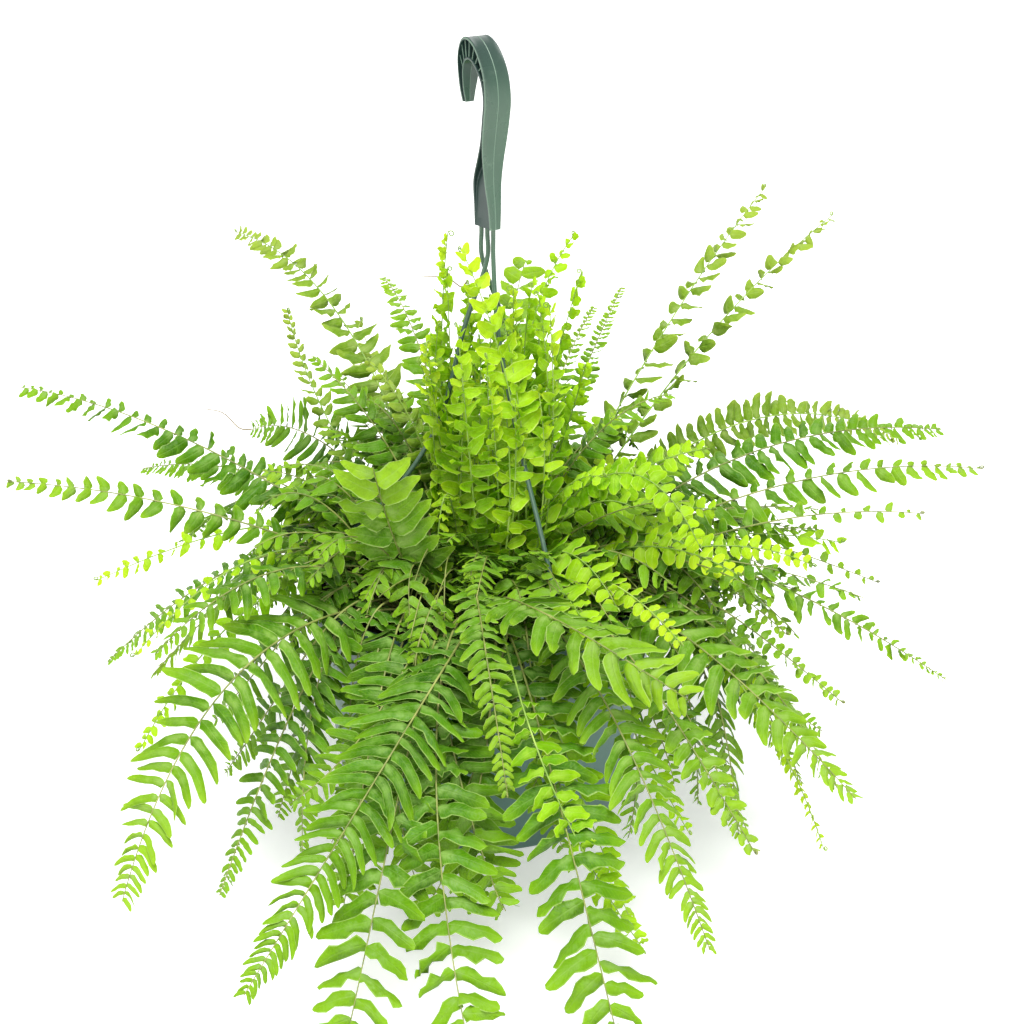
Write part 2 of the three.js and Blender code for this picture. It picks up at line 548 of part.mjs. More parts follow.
// A leaflet from station i to the next, on the side +1 (left) or -1: its outer edge's aft and fore
// points in the middle of its thickness.
function leafletEdge(rib, i, hand, scale, extraDroop) {
  const a = rib.stations[i];
  const step = rib.stations[i + 1].at.clone().sub(a.at);
  const length = rib.leaflet * leafletShare((i - rib.first + 0.5) / rib.count) * scale;
  const { droop, alternate } = KINDS[rib.kind];
  const corners = alternate ? ALTERNATE_CORNERS : PAIRED_CORNERS;
  return corners.map(([forward, out, sag]) => a.at.clone()
    .addScaledVector(step, forward)
    .addScaledVector(a.side, hand * (length * out + a.width))
    .addScaledVector(a.up, -length * (droop + extraDroop) * sag));
}

// Points spread over a leaflet, to test and to take.
function leafletSamples(rib, i, [aft, fore]) {
  const a = rib.stations[i].at;
  const b = rib.stations[i + 1].at;
  const rows = Math.ceil(a.distanceTo(aft) / LEAFLET_SAMPLING) + 1;
  const columns = Math.ceil(a.distanceTo(b) / LEAFLET_SAMPLING);
  const samples = [];
  for (let row = 1; row <= rows; row++) {
    for (let column = 0; column <= columns; column++) {
      const inner = a.clone().lerp(b, column / columns);
      samples.push(inner.lerp(aft.clone().lerp(fore, column / columns), row / rows));
    }
  }
  return samples;
}

// The first way of its list that a leaflet lies clear, or nothing where none does.
function clearLeaflet(rib, i, hand) {
  for (const [scale, droop] of LEAFLET_FITS) {
    const edge = leafletEdge(rib, i, hand, scale, droop);
    const samples = leafletSamples(rib, i, edge);
    if (samples.every((p) => isFree(p) && isClear(p, rib.name))) {
      samples.forEach((p) => take(p, rib.name));
      return edge;
    }
  }
  return null;
}

// Adds the top and lower copies of a leaflet's outer points; returns their numbers in pairs.
function thicken(points, up, edge) {
  return edge.map((middle) => {
    points.push(middle.clone().addScaledVector(up, BLADE_THICKNESS / 2));
    points.push(middle.clone().addScaledVector(up, -BLADE_THICKNESS / 2));
    return [points.length - 2, points.length - 1];
  });
}

// One closed mesh: the rib, and on each side of each leafy segment a leaflet cut to the rib.
function frondSolid(rib) {
  const rings = rib.stations.map(ribRing);
  const points = rings.flat();
  const index = [];
  const ring = rings[0].length;
  const quad = (a, b, c, d) => index.push(a, b, c, a, c, d);
  for (let i = 0; i + 1 < rings.length; i++) {
    const [leftTop, rightTop, rightLow, leftLow] = [0, 1, 2, 3].map((k) => i * ring + k);
    quad(leftTop, rightTop, rightTop + ring, leftTop + ring);
    quad(rightLow, leftLow, leftLow + ring, rightLow + ring);
    for (const hand of [1, -1]) {
      const [top, low] = hand > 0 ? [leftTop, leftLow] : [rightTop, rightLow];
      const edge = rib.leaflets.get(`${i},${hand}`);
      const outer = edge ? thicken(points, rib.stations[i].up, edge) : [];
      // round the leaflet's outline, or straight along the rib where there is none
      const tops = [top, ...outer.map(([t]) => t), top + ring];
      const lows = [low, ...outer.map(([, l]) => l), low + ring];
      const face = (a, b, c) => (hand > 0 ? index.push(a, b, c) : index.push(a, c, b));
      for (let k = 0; k + 1 < tops.length; k++) {
        face(tops[k], tops[k + 1], lows[k + 1]);
        face(tops[k], lows[k + 1], lows[k]);
      }
      if (edge) {
        face(tops[0], tops[3], tops[1]);
        face(tops[1], tops[3], tops[2]);
        face(lows[0], lows[1], lows[3]);
        face(lows[1], lows[2], lows[3]);
      }
    }
  }
  const last = points.indexOf(rings.at(-1)[0]);
  quad(0, 3, 2, 1);
  quad(last, last + 1, last + 2, last + 3);
  return faceted(points, index);
}

// The strands and every rib take their places first, so that leaflets give way to them.
function takeLines(ribs) {
  const around = [0, 90, 180, 270].map((azimuth) => cylindrical(STRAND_RADIUS + 1, azimuth, 0));
  for (const data of STRANDS) {
    for (const p of spaced(strandCurve(data))) {
      around.forEach((shift) => take(p.clone().add(shift), data.name));
    }
  }
  for (const rib of ribs) {
    spaced(rib.curve).forEach((p) => take(p, rib.name));
  }
}

const spaced = (curve) => curve.getSpacedPoints(Math.ceil(curve.getLength() / LEAFLET_SAMPLING));

function fronds() {
  const ribs = FRONDS.map(ribOf);
  takeLines(ribs);
  const nodes = new Map();
  for (const rib of ribs) {
    rib.leaflets = new Map();
    for (let i = rib.first; i + 1 < rib.stations.length; i++) {
      const hands = KINDS[rib.kind].alternate ? [i % 2 ? 1 : -1] : [1, -1];
      for (const hand of hands) rib.leaflets.set(`${i},${hand}`, clearLeaflet(rib, i, hand));
    }
    const made = frondSolid(rib);
    const { kind, made: others } = nodes.get(rib.name) ?? { kind: rib.kind };
    nodes.set(rib.name, { kind, made: others ? others.add(made) : made });
  }
  return [...nodes].map(([name, { kind, made }]) =>
    piece(`frond_${name}`, made, FROND_MATERIAL[kind]));
}

const feet = FRONDS.map(([, foot]) => foot);
const fern = new THREE.Group();
fern.add(pot(), growingMix(feet), hook(), ...STRANDS.map(strand), ...fronds());

export default fern;
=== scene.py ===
"""A Boston fern in a round plastic hanging basket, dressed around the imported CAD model.

Every piece repeats the driving sizes and the frond rows of the part's source, in millimetres, and
is scaled to metres as it is made. Each frond piece keeps its solid's rib, and gets leaflets at their
real number and form, with hairs, scales and curled tips. Azimuths are in degrees from +X to +Y.
"""

import math

import bpy
import numpy as np
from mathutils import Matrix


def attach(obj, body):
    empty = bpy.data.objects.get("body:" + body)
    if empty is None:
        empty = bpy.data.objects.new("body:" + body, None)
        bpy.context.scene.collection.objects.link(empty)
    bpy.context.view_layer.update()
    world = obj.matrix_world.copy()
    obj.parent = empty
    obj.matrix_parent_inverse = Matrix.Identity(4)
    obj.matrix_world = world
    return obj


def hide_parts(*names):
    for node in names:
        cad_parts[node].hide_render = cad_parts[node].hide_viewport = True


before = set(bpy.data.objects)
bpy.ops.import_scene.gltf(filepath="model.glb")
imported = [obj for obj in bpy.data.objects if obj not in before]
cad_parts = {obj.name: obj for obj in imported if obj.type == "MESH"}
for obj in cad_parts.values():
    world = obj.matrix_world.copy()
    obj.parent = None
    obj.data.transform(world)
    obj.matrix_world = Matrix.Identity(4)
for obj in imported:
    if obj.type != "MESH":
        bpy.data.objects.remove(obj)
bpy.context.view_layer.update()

MM = 0.001
TINY = 1e-12
BODY = "root"

# ------------------------------------------------------------------------------ driving sizes, mm
POT_HEIGHT = 165
POT_BASE_RADIUS = 103
POT_TOP_RADIUS = 122.5
POT_WALL = 2
POT_FLOOR = 2.5
POT_FOOT_ROUND = 2.5
RIM_RADIUS = 130
RIM_DEPTH = 14
RIM_THICKNESS = 1.8
DRAIN_HOLES = 6
DRAIN_RADIUS = 4
DRAIN_RING_RADIUS = 68
POT_SIDES = 144
# The foot ring under the base: radii of its corners, height of the ring above the ground.
FOOT_RING = (88, 90, 96, 98)
FOOT_RING_RISE = 1.2
CUT_OVERLAP = 1
CUTTER_SIDES = 24
CUT_SHARP_ANGLE = 32
ROUND_STEPS = 4
# Roundings of the pot's corners: foot ring, under the rim, inside its lip, its lower edges, its
# upper edge, the mouth and the inside of the floor.
FOOT_RING_ROUND = 0.8
UNDER_RIM_ROUND = 1.2
LIP_INNER_ROUND = 0.8
LIP_EDGE_ROUNDS = (0.5, 0.6)
RIM_TOP_ROUND = 1.8
MOUTH_ROUND = 1.0
FLOOR_ROUND = 1.5

MIX_EDGE_HEIGHT = 151
MIX_TOP_HEIGHT = 154
MIX_MOUND_RADIUS = 95
MIX_SIDES = 120
MIX_RINGS = 46
MIX_WALL_HEIGHTS = (50, 100, 140)
MIX_FLOOR_RING = 0.5
MIX_TOLERANCE = 0.01
MIX_SEED = 5
MIX_SHARP_ANGLE = 60
CRUMB_HEIGHT = 1.6
CRUMB_RANGE = (-0.6, 1)
# Slow waves of the mix's surface: height; spacing outwards and number around for each of the two.
HEAVE_HEIGHT = 0.9
HEAVE_WAVES = [(9, 3), (17, 5)]
STALK_DEPTH = 14

HOOK_AZIMUTH = 124
HOOK_CENTRE = np.array([3.0, 0.0, 0.0])
HOOK_STRAP = 1.8
HOOK_INNER_STRAP = 1.6
INNER_STRAP_SHARE = 0.9
# Widest roundings of a section: outer strap, inner strap, web; and how far the inner strap stands out.
HOOK_FLANGE_ROUND = 0.5
HOOK_LIP_ROUND = 0.4
HOOK_WEB_ROUND = 0.5
HOOK_SHELF = 0.3
HOOK_RIBS = 8
HOOK_RIB_SPAN = (0.47, 0.79)
HOOK_RIB_THICKNESS = 0.75
HOOK_RIB_WIDTH = 0.84
HOOK_RIB_SINK = 0.6
# Across a rib's thickness: place in half thicknesses, and how far its edge is rounded away.
HOOK_RIB_PROFILE = [(-1, 0.35), (-0.6, 0), (0.6, 0), (1, 0.35)]
HOOK_RIB_SHARP_ANGLE = 30
HOOK_SHARP_ANGLE = 34
HOOK_STEPS = 120
HOOK_FINE_STEPS = 2000
MOULD_LINE_WIDTH = 0.34
MOULD_LINE_HEIGHT = 0.16
SOCKET_DEPTH = 7
SOCKET_OVERLAP = 3
SOCKET_SPACING = 7
# Outer and inner line (along the way the hook opens, height), strap width, web thickness.
HOOK_STATIONS = [
    ((-10, 411), (10, 411), 8, 6.4),
    ((-9.5, 424), (9.5, 424), 9.5, 6.4),
    ((-7.8, 441), (8.2, 441), 12.5, 6),
    ((-8, 456), (1, 456), 16, 3),
    ((-9.5, 468), (-4.3, 468), 18.5, 2.2),
    ((-12, 482), (-7.2, 482.5), 19.5, 2.2),
    ((-13.6, 495), (-8.6, 495), 19.5, 2.2),
    ((-11.6, 509), (-5.6, 506), 19, 2.2),
    ((-6, 520), (0.2, 513.2), 18.5, 2.2),
    ((2, 528.5), (5.5, 517), 17.5, 2.2),
    ((11, 532), (11, 518), 16.5, 2.2),
    ((18.5, 529), (15.5, 515.5), 15.5, 2.2),
    ((23, 519), (18, 509.5), 14.5, 2.2),
    ((24, 507), (19, 502.5), 12.5, 2.2),
    ((24, 497), (19.6, 496), 10, 2.2),
    ((23.6, 489.5), (19.5, 489.5), 7, 2.2),
]
HOOK_FOOT_HEIGHT = HOOK_STATIONS[0][0][1]

STRAND_RADIUS = 1.6
STRAND_HOLE_RADIUS = 1.95
STRAND_RING_RADIUS = 125
STRAND_KNOB_RADIUS = 2.3
STRAND_KNOB_HEIGHT = 4
STRAND_STUB = 4
STRAND_PLUMB = 20
STRAND_SHARP_ANGLE = 40
STRAND_STEPS = 72
STRAND_SIDES = 16
STRAND_KNOB_SIDES = 20
CLEARANCE = 0.3
# Name, azimuth in the rim, place in the hook, and the points that it bows through, as (radius, height).
STRANDS = [
    ("strand_right", -65, -SOCKET_SPACING, [(24, 345), (58, 277), (91, 226)]),
    ("strand_left", 175, 0, [(12, 345), (34, 268), (76, 208)]),
    ("strand_back", 55, SOCKET_SPACING, [(22, 345), (56, 277), (91, 222)]),
]

# ------------------------------------------------------------------------------ fronds' looks
# What every frond has: size of the leaflets on its left and on its right side; how much they differ
# among themselves; shares of the leafy stretch between which they are longest; power of their
# decrease after it; size of the last; growth of the step towards the tip; ripple of the outline; and
# in degrees the roll of the whole blade, the leaflets' random twist, the turn of the whole blade
# along the rib, and the rise of the leaflets' fore edges.
COMMON = dict(sides=(1, 1), ragged=0.14, stretch=(0.35, 0.5), taper=1.4, last=0.2, sparse=1,
              ripple=0.09, roll=0, twist=26, spin=0, fore_up=0)
# For each kind: width of a leaflet as a share of its length; step along the rib in leaflet widths;
# how far the right side lags behind the left, in steps; bare share of the rib; share at which the
# blade's roll is whole; droop and forward curve as shares of the length; arch; forward lean at the
# first leaflet and at the last, in degrees; wave of the margin in mm; shape; size of the curled tip;
# random tilt and lift in degrees. The look names the colours, where they aren't those of the kind.
KINDS = {
    "mature": dict(aspect=0.27, step=1.38, lag=0.3, bare=0.15, rolled=0.24, droop=0.26, hook=0.18,
                   arch=0.44, lean=(4, 32), wave=1.1, shape="long", curl=0, tilt=14, lift=9),
    "light": dict(aspect=0.24, step=1.36, lag=0.3, bare=0.15, rolled=0.24, droop=0.3, hook=0.26,
                  arch=0.46, lean=(6, 36), wave=0.8, shape="long", curl=0, tilt=11, lift=8),
    "young": dict(aspect=0.47, step=1.4, lag=0.5, bare=0.14, rolled=0.22, droop=0.22, hook=0.16,
                  arch=0.46, lean=(8, 34), wave=1.0, shape="oval", curl=1.0, tilt=20, lift=13, last=0.36),
    "tender": dict(aspect=0.5, step=1.4, lag=0.5, bare=0.12, rolled=0.2, droop=0.2, hook=0.14,
                   arch=0.44, lean=(8, 36), wave=0.9, shape="oval", curl=1.3, tilt=22, lift=14, last=0.4),
}
# What some rows of the table have instead.
PLAIN = {}
CROWN = dict(aspect=0.6, step=1.24, shape="heart", tilt=34, lift=26, twist=42, spin=50, wave=1.5,
             ragged=0.25)
WAVY = dict(step=1.42, wave=2.7, aspect=0.29, ripple=0.26, twist=40, tilt=24, hook=0.1, droop=0.16,
            ragged=0.2, stretch=(0.3, 0.72), taper=1.8, last=0.3)
LUSH = dict(aspect=0.44, step=1.3, tilt=28, lift=20, wave=1.6, ripple=0.12)
SPARSE = dict(step=1.36, aspect=0.56, shape="heart", droop=0.4, hook=0.34, ripple=0.05, look="outer",
              tilt=22, lift=16)
BROAD = dict(aspect=0.37, step=1.28, shape="broad", wave=1.3, ripple=0.12, look="light")
OUTER = dict(look="outer")
PAIRS = dict(aspect=0.58, step=1.22, shape="oval", tilt=13, lift=9, droop=0.08, hook=0.12, twist=14,
             wave=0.8, lean=(4, 18), stretch=(0.15, 0.5), taper=1.3, last=0.5, ragged=0.1, arch=0.3)


def leaf(bends, leaflet, kind, base=PLAIN, **changes):
    """One row: the points that the rib bends towards, its tip last, as (radius, azimuth, height);
    longest leaflet, as that of the solid times how much longer the real ones get; kind; and what the
    row has instead of the kind's own values."""
    return bends, leaflet, kind, {**base, **changes}


# Each frond piece by name: its foot in the mix as (radius, azimuth), and its rows, one for each rib.
FRONDS = {
    "crown_13": ((45, -134),
        leaf([(95, -125, 190), (128, -122, 285)], 28 * 1.3, "light", aspect=0.36, step=1.08,
            shape="pointed", wave=2.4, droop=0.02, tilt=8, twist=16, lean=(14, 26), roll=34, lift=4,
            hook=0.2, stretch=(0.2, 0.85), taper=2.5, ripple=0.14, fore_up=24, arch=0.2),
        leaf([(88, -152, 240), (140, -162, 182)], 20, "mature")),
    "front_1": ((38, -92), leaf([(225, -91, 235), (354, -112, 50)], 38 * 0.98, "light", aspect=0.2,
        step=1.3, look="mature", droop=0.22, hook=0.3, ripple=0.13)),
    "left_7": ((55, 226), leaf([(235, 226, 238), (318, 226, 45)], 38 * 1.16, "light", aspect=0.205,
        step=1.4, droop=0.16, hook=0.3, roll=-20, lean=(2, 24), stretch=(0.1, 0.4), taper=1.3,
        ripple=0.14)),
    "front_9": ((30, -80), leaf([(215, -88, 262), (250, -60, 178)], 25 * 1.4, "light", BROAD, aspect=0.28,
        droop=0.14, stretch=(0.1, 0.66), taper=1.6, last=0.4)),
    "front_8": ((25, -104),
        leaf([(190, -92, 275), (235, -86, 125)], 16 * 1.12, "young", aspect=0.33, step=1.3, shape="long",
            look="light", tilt=14, lift=10),
        leaf([(100, -104, 232), (156, -106, 168)], 22, "mature")),
    "crown_7": ((34, -70), leaf([(104, -64, 290), (24, -125, 402)], 18 * 1.36, "tender", CROWN, aspect=0.48,
        step=1.5, spin=0, tilt=20, lift=14)),
    "front_5": ((50, -74), leaf([(130, -71, 218), (240, -68, 165), (328, -66, 60)], 30, "light",
        aspect=0.26, wave=1.4, ripple=0.14, tilt=18)),
    "front_3": ((72, -96), leaf([(125, -99, 215), (245, -101, 160), (368, -90, 18)], 28 * 1.2, "mature",
        WAVY)),
    "front_4": ((66, -84), leaf([(125, -83, 212), (235, -80, 150), (368, -77, 20)], 30 * 1.2, "mature",
        WAVY)),
    "right_1": ((50, -42),
        leaf([(125, -43, 212), (220, -43, 165), (310, -42, 105)], 24 * 1.4, "light", BROAD, aspect=0.33,
            droop=0.14, roll=14, stretch=(0.15, 0.5), taper=1.2),
        leaf([(125, -36, 220), (225, -36, 155), (281, -39, 50)], 10, "tender")),
    "front_2": ((78, -108), leaf([(125, -102, 215), (250, -100, 150), (372, -102, 20)], 30 * 1.2, "mature",
        WAVY)),
    "left_9": ((78, 234),
        leaf([(110, 229, 214), (165, 229, 180), (255, 229, 25)], 24, "mature"),
        leaf([(115, 238, 214), (160, 237, 190), (158, 236, 75)], 20, "mature")),
    "right_7": ((64, 21),
        leaf([(190, 20, 262), (362, 20, 225)], 24 * 1.05, "mature", BROAD, step=1.12, look="mature",
            last=0.3, roll=25),
        leaf([(108, 12, 245), (160, 10, 246)], 16 * 1.3, "mature", BROAD, roll=30)),
    "right_6": ((70, 36), leaf([(215, 33, 290), (395, 33, 183)], 22 * 0.95, "light", BROAD, look="outer",
        step=1.12, last=0.3, roll=60)),
    "left_1": ((62, 159), leaf([(235, 159, 255), (375, 159, 255)], 24 * 1.3, "mature", aspect=0.36,
        step=1.1, sides=(1.1, 0.7), shape="broad", ragged=0.3, stretch=(0.1, 0.3), taper=0.85, sparse=1.5,
        wave=1.8, ripple=0.16, tilt=24, last=0.26, roll=-25)),
    "left_3": ((62, 177),
        leaf([(190, 179, 222), (328, 179, 230)], 20 * 0.98, "young", aspect=0.46, step=1.5,
            sides=(1.05, 0.75), shape="heart", droop=0.26, hook=0.2, taper=1.2, look="light", roll=-45),
        leaf([(108, 171, 236), (160, 169, 228)], 16 * 1.3, "mature", BROAD, roll=-30)),
    "left_8": ((74, 205), leaf([(120, 204, 212), (190, 204, 180), (252, 204, 80)], 16, "young", roll=-20)),
    "left_6": ((66, 185),
        leaf([(120, 183, 212), (190, 183, 178), (268, 183, 100)], 20, "mature", roll=-15),
        leaf([(120, 187, 218), (185, 190, 190), (245, 190, 120)], 12 * 1.2, "tender", step=1.8, ragged=0.5,
            roll=-30)),
    "left_11": ((64, 216),
        leaf([(150, 215, 250), (250, 214, 170)], 26, "mature"),
        leaf([(108, 221, 222), (162, 219, 158)], 20, "mature")),
    "front_6": ((84, -78), leaf([(118, -80, 215), (180, -78, 150), (268, -70, 45)], 18 * 1.12, "young",
        aspect=0.5, step=1.3, wave=1.6, ripple=0.18, hook=0.2)),
    "front_7": ((52, -60), leaf([(118, -63, 226), (175, -65, 160), (243, -58, 80)], 15 * 1.05, "young",
        wave=1.3, ripple=0.14)),
    "front_10": ((76, -53),
        leaf([(125, -58, 212), (210, -59, 170), (300, -57, 95)], 18 * 1.1, "young", aspect=0.45, step=1.3,
            look="light", wave=1.6, ripple=0.16),
        leaf([(118, -48, 214), (180, -48, 152), (250, -48, 70)], 20, "mature")),
    "right_2": ((68, -31), leaf([(120, -32, 212), (205, -32, 175), (272, -32, 75)], 20 * 1.2, "mature",
        aspect=0.28, look="light")),
    "right_12": ((80, -8), leaf([(120, -9, 212), (220, -9, 172), (323, -9, 105)], 18 * 1.05, "mature",
        aspect=0.38, step=1.35, ragged=0.55, look="light", tilt=30, twist=50, roll=25)),
    "right_10": ((78, 13), leaf([(120, 12, 210), (210, 12, 170), (295, 12, 128)], 12 * 1.2, "young", PAIRS,
        step=1.7, sparse=1.4, ragged=0.5, look="light", roll=45)),
    "right_13": ((74, -22),
        leaf([(120, -19, 212), (165, -19, 190), (215, -19, 150)], 10 * 1.05, "young", PAIRS, look="light",
            roll=20, tilt=30, lift=20),
        leaf([(120, -25, 212), (180, -24, 170), (257, -21, 110)], 10 * 1.05, "young", PAIRS, look="light",
            roll=20, tilt=30, lift=20)),
    "right_8": ((56, 5), leaf([(205, 5, 250), (350, 5, 230)], 18 * 1.2, "tender", aspect=0.44,
        sides=(0.6, 1.1), taper=1.1, droop=0.3, look="light", stretch=(0.3, 0.6), sparse=1.2, step=1.25,
        last=0.3, roll=40)),
    "right_9": ((70, -3),
        leaf([(190, -2, 222), (300, -3, 215)], 12 * 1.15, "young", PAIRS, step=1.9, sparse=1.2, ragged=0.6,
            look="light", roll=40),
        leaf([(100, -18, 228), (150, -22, 206)], 12 * 1.5, "young", PAIRS, roll=35)),
    "right_11": ((48, -14), leaf([(160, -13, 222), (227, -12, 190)], 10 * 1.3, "tender", PAIRS, roll=40)),
    "right_4": ((60, 50), leaf([(190, 49, 300), (330, 49, 380)], 15 * 1.22, "young", SPARSE, taper=1.6)),
    "right_5": ((50, 30), leaf([(165, 32, 310), (305, 33, 378)], 15 * 1.2, "young", SPARSE, tilt=34,
        lift=24, ragged=0.3)),
    "left_2": ((70, 150), leaf([(190, 149, 226), (315, 149, 178)], 22, "mature", roll=-20)),
    "left_4": ((76, 168), leaf([(120, 168, 215), (200, 168, 180), (293, 168, 130)], 12 * 1.2, "tender",
        step=1.8, ragged=0.5, roll=-35)),
    "back_left_5": ((66, 132), leaf([(190, 131, 240), (290, 131, 190)], 24 * 1.3, "mature", aspect=0.2,
        step=1.5, droop=0.06, stretch=(0.2, 0.6), roll=-60)),
    "back_left_1": ((60, 124), leaf([(165, 124, 350), (368, 124, 330)], 22 * 1.1, "young", aspect=0.42,
        step=1.3, shape="pointed", stretch=(0.2, 0.36), taper=1, droop=0.2, hook=0.24, look="outer",
        roll=-24)),
    "back_left_2": ((55, 138), leaf([(185, 134, 215), (225, 132, 305)], 12 * 1.15, "young", OUTER)),
    "back_left_3": ((45, 114),
        leaf([(165, 116, 200), (215, 117, 290)], 13 * 1.4, "tender", OUTER),
        leaf([(60, 142, 280), (92, 152, 305)], 12 * 1.3, "young", OUTER)),
    "back_left_4": ((42, 103), leaf([(150, 108, 310), (255, 109, 310)], 16 * 1.35, "mature", aspect=0.38,
        step=1.3, look="light", stretch=(0.2, 0.4), shape="heart")),
    "crown_1": ((22, -50),
        leaf([(110, -68, 230), (185, -67, 190)], 14 * 1.3, "young", PAIRS, aspect=0.5, roll=22),
        leaf([(62, -44, 262), (104, -40, 262)], 13 * 1.4, "young", PAIRS, aspect=0.5, roll=22),
        leaf([(92, -56, 250), (142, -52, 188)], 18 * 1.15, "young", PAIRS, aspect=0.46, roll=25)),
    "crown_2": ((38, -38),
        leaf([(110, -51, 230), (195, -50, 182)], 8 * 1.5, "tender", PAIRS, aspect=0.66, shape="round",
            roll=32),
        leaf([(110, -29, 235), (192, -30, 205)], 12 * 1.3, "tender", PAIRS, roll=38)),
    "crown_4": ((34, -2),
        leaf([(100, -3, 222), (158, -3, 215)], 10 * 1.5, "young", PAIRS, roll=45),
        leaf([(80, -9, 250), (150, -9, 265)], 12 * 1.5, "young", PAIRS, roll=45),
        leaf([(70, 15, 262), (100, 18, 226)], 10 * 1.6, "tender", PAIRS, roll=45)),
    "crown_6": ((16, -20),
        leaf([(110, -36, 330), (172, -36, 228)], 10 * 1.6, "young", PAIRS, roll=35),
        leaf([(84, -14, 270), (126, -17, 204)], 15 * 1.3, "young", PAIRS, roll=40)),
    "crown_8": ((30, 130),
        leaf([(42, 150, 290), (42, 125, 398)], 14 * 1.2, "tender", CROWN),
        leaf([(25, 90, 270), (34, 110, 365)], 12 * 1.35, "young", CROWN),
        leaf([(34, 205, 280), (40, 200, 335)], 12 * 1.25, "tender", CROWN)),
    "crown_10": ((36, 59),
        leaf([(52, 75, 330), (119, 58, 380)], 14 * 1.3, "young", CROWN, spin=-40),
        leaf([(44, 15, 300), (66, 9, 378)], 14 * 1.3, "young", CROWN, spin=-30),
        leaf([(56, 20, 240), (70, -14, 322)], 12 * 1.4, "young", CROWN, spin=70)),
    "crown_12": ((42, 70),
        leaf([(70, 85, 300), (140, 78, 352)], 16 * 1.1, "mature", aspect=0.56, step=1.15, look="light",
            shape="round", tilt=24, stretch=(0.3, 0.9), taper=3),
        leaf([(80, 54, 290), (150, 58, 320)], 14 * 1.3, "mature", aspect=0.38, step=1.35, look="light",
            stretch=(0.1, 0.25), taper=0.8)),
    "back_right_1": ((64, 64), leaf([(150, 67, 240), (275, 67, 300)], 14 * 1.35, "mature", aspect=0.36,
        step=1.3, look="light", stretch=(0.1, 0.25), taper=0.8)),
    "crown_14": ((22, -128),
        leaf([(60, -115, 320), (83, -113, 178)], 9, "tender"),
        leaf([(24, -112, 230), (22, -104, 262)], 10 * 1.2, "tender", CROWN)),
    "back_1": ((62, 80), leaf([(170, 74, 255), (320, 80, 110)], 26, "mature")),
    "back_2": ((62, 93), leaf([(190, 93, 240), (345, 93, 90)], 28, "light")),
    "back_3": ((66, 107), leaf([(180, 106, 240), (330, 106, 120)], 26, "mature")),
    "back_4": ((74, 119), leaf([(170, 120, 235), (300, 120, 60)], 24, "mature")),
    "back_5": ((72, 142), leaf([(180, 141, 232), (320, 141, 100)], 26, "mature")),
    "back_6": ((74, 56), leaf([(170, 57, 235), (310, 57, 80)], 26, "mature")),
    "back_7": ((80, 43), leaf([(180, 43, 242), (310, 42, 90)], 24, "light")),
}
# In front of this frond's first rib no leaflet of another frond is in the way: the side that it is
# seen from, the places along the rib that are kept free, how far beside them, and from how far ahead.
SHOWN_FROND = "crown_13"
SHOWN_SIDE = (0.0, -0.9, 0.43)
SHOWN_SHARES = (0.4, 0.55, 0.7, 0.85, 1.0)
SHOWN_REACH = 30
SHOWN_GAP = 3
# A leaflet's rows from base to tip: share of the length, half widths on the fore and the aft side.
SHAPES = {
    "long": [(0.03, 0.5, 0.3), (0.085, 1.24, 0.72), (0.18, 1.1, 0.95), (0.32, 0.98, 0.98),
             (0.5, 0.96, 0.98), (0.7, 0.91, 0.92), (0.87, 0.7, 0.72), (0.965, 0.38, 0.4)],
    "pointed": [(0.03, 0.5, 0.35), (0.09, 1.18, 0.8), (0.2, 1.12, 1.0), (0.36, 1.06, 1.06),
                (0.54, 0.96, 0.98), (0.72, 0.74, 0.76), (0.87, 0.46, 0.48), (0.965, 0.2, 0.22)],
    "broad": [(0.03, 0.5, 0.35), (0.09, 1.2, 0.8), (0.2, 1.12, 1.0), (0.36, 1.02, 1.04),
              (0.55, 0.99, 1.01), (0.73, 0.87, 0.89), (0.88, 0.62, 0.64), (0.965, 0.32, 0.34)],
    "oval": [(0.05, 0.6, 0.32), (0.14, 1.14, 0.74), (0.28, 1.14, 0.98), (0.47, 1.04, 1.04),
             (0.67, 0.92, 0.94), (0.86, 0.64, 0.66), (0.965, 0.3, 0.32)],
    "round": [(0.06, 0.62, 0.4), (0.2, 1.08, 0.95), (0.42, 1.06, 1.06), (0.67, 0.95, 0.97),
              (0.86, 0.7, 0.72), (0.965, 0.36, 0.38)],
    "heart": [(0.04, 0.7, 0.4), (0.12, 1.2, 0.86), (0.26, 1.18, 1.02), (0.45, 1.08, 1.04),
              (0.66, 0.92, 0.9), (0.86, 0.62, 0.62), (0.965, 0.3, 0.3)],
}
# Points across a leaflet from its aft to its fore edge: main fronds are fine, fillers are plain.
ACROSS = {"fine": (-1, -0.52, 0, 0.52, 1), "plain": (-1, 0, 1)}
LEAFLET_THICKNESS = 0.32
MIDRIB_GROOVE = 0.22
# Waves and ripples over a leaflet's length; how fast they set in; how they are shifted.
WAVES = 2.3
WAVE_EASE = 6
WAVE_PHASE = 1.7
RIPPLES = 1.7
RIPPLE_EASE = 4
RIPPLE_SLANT = 1.3
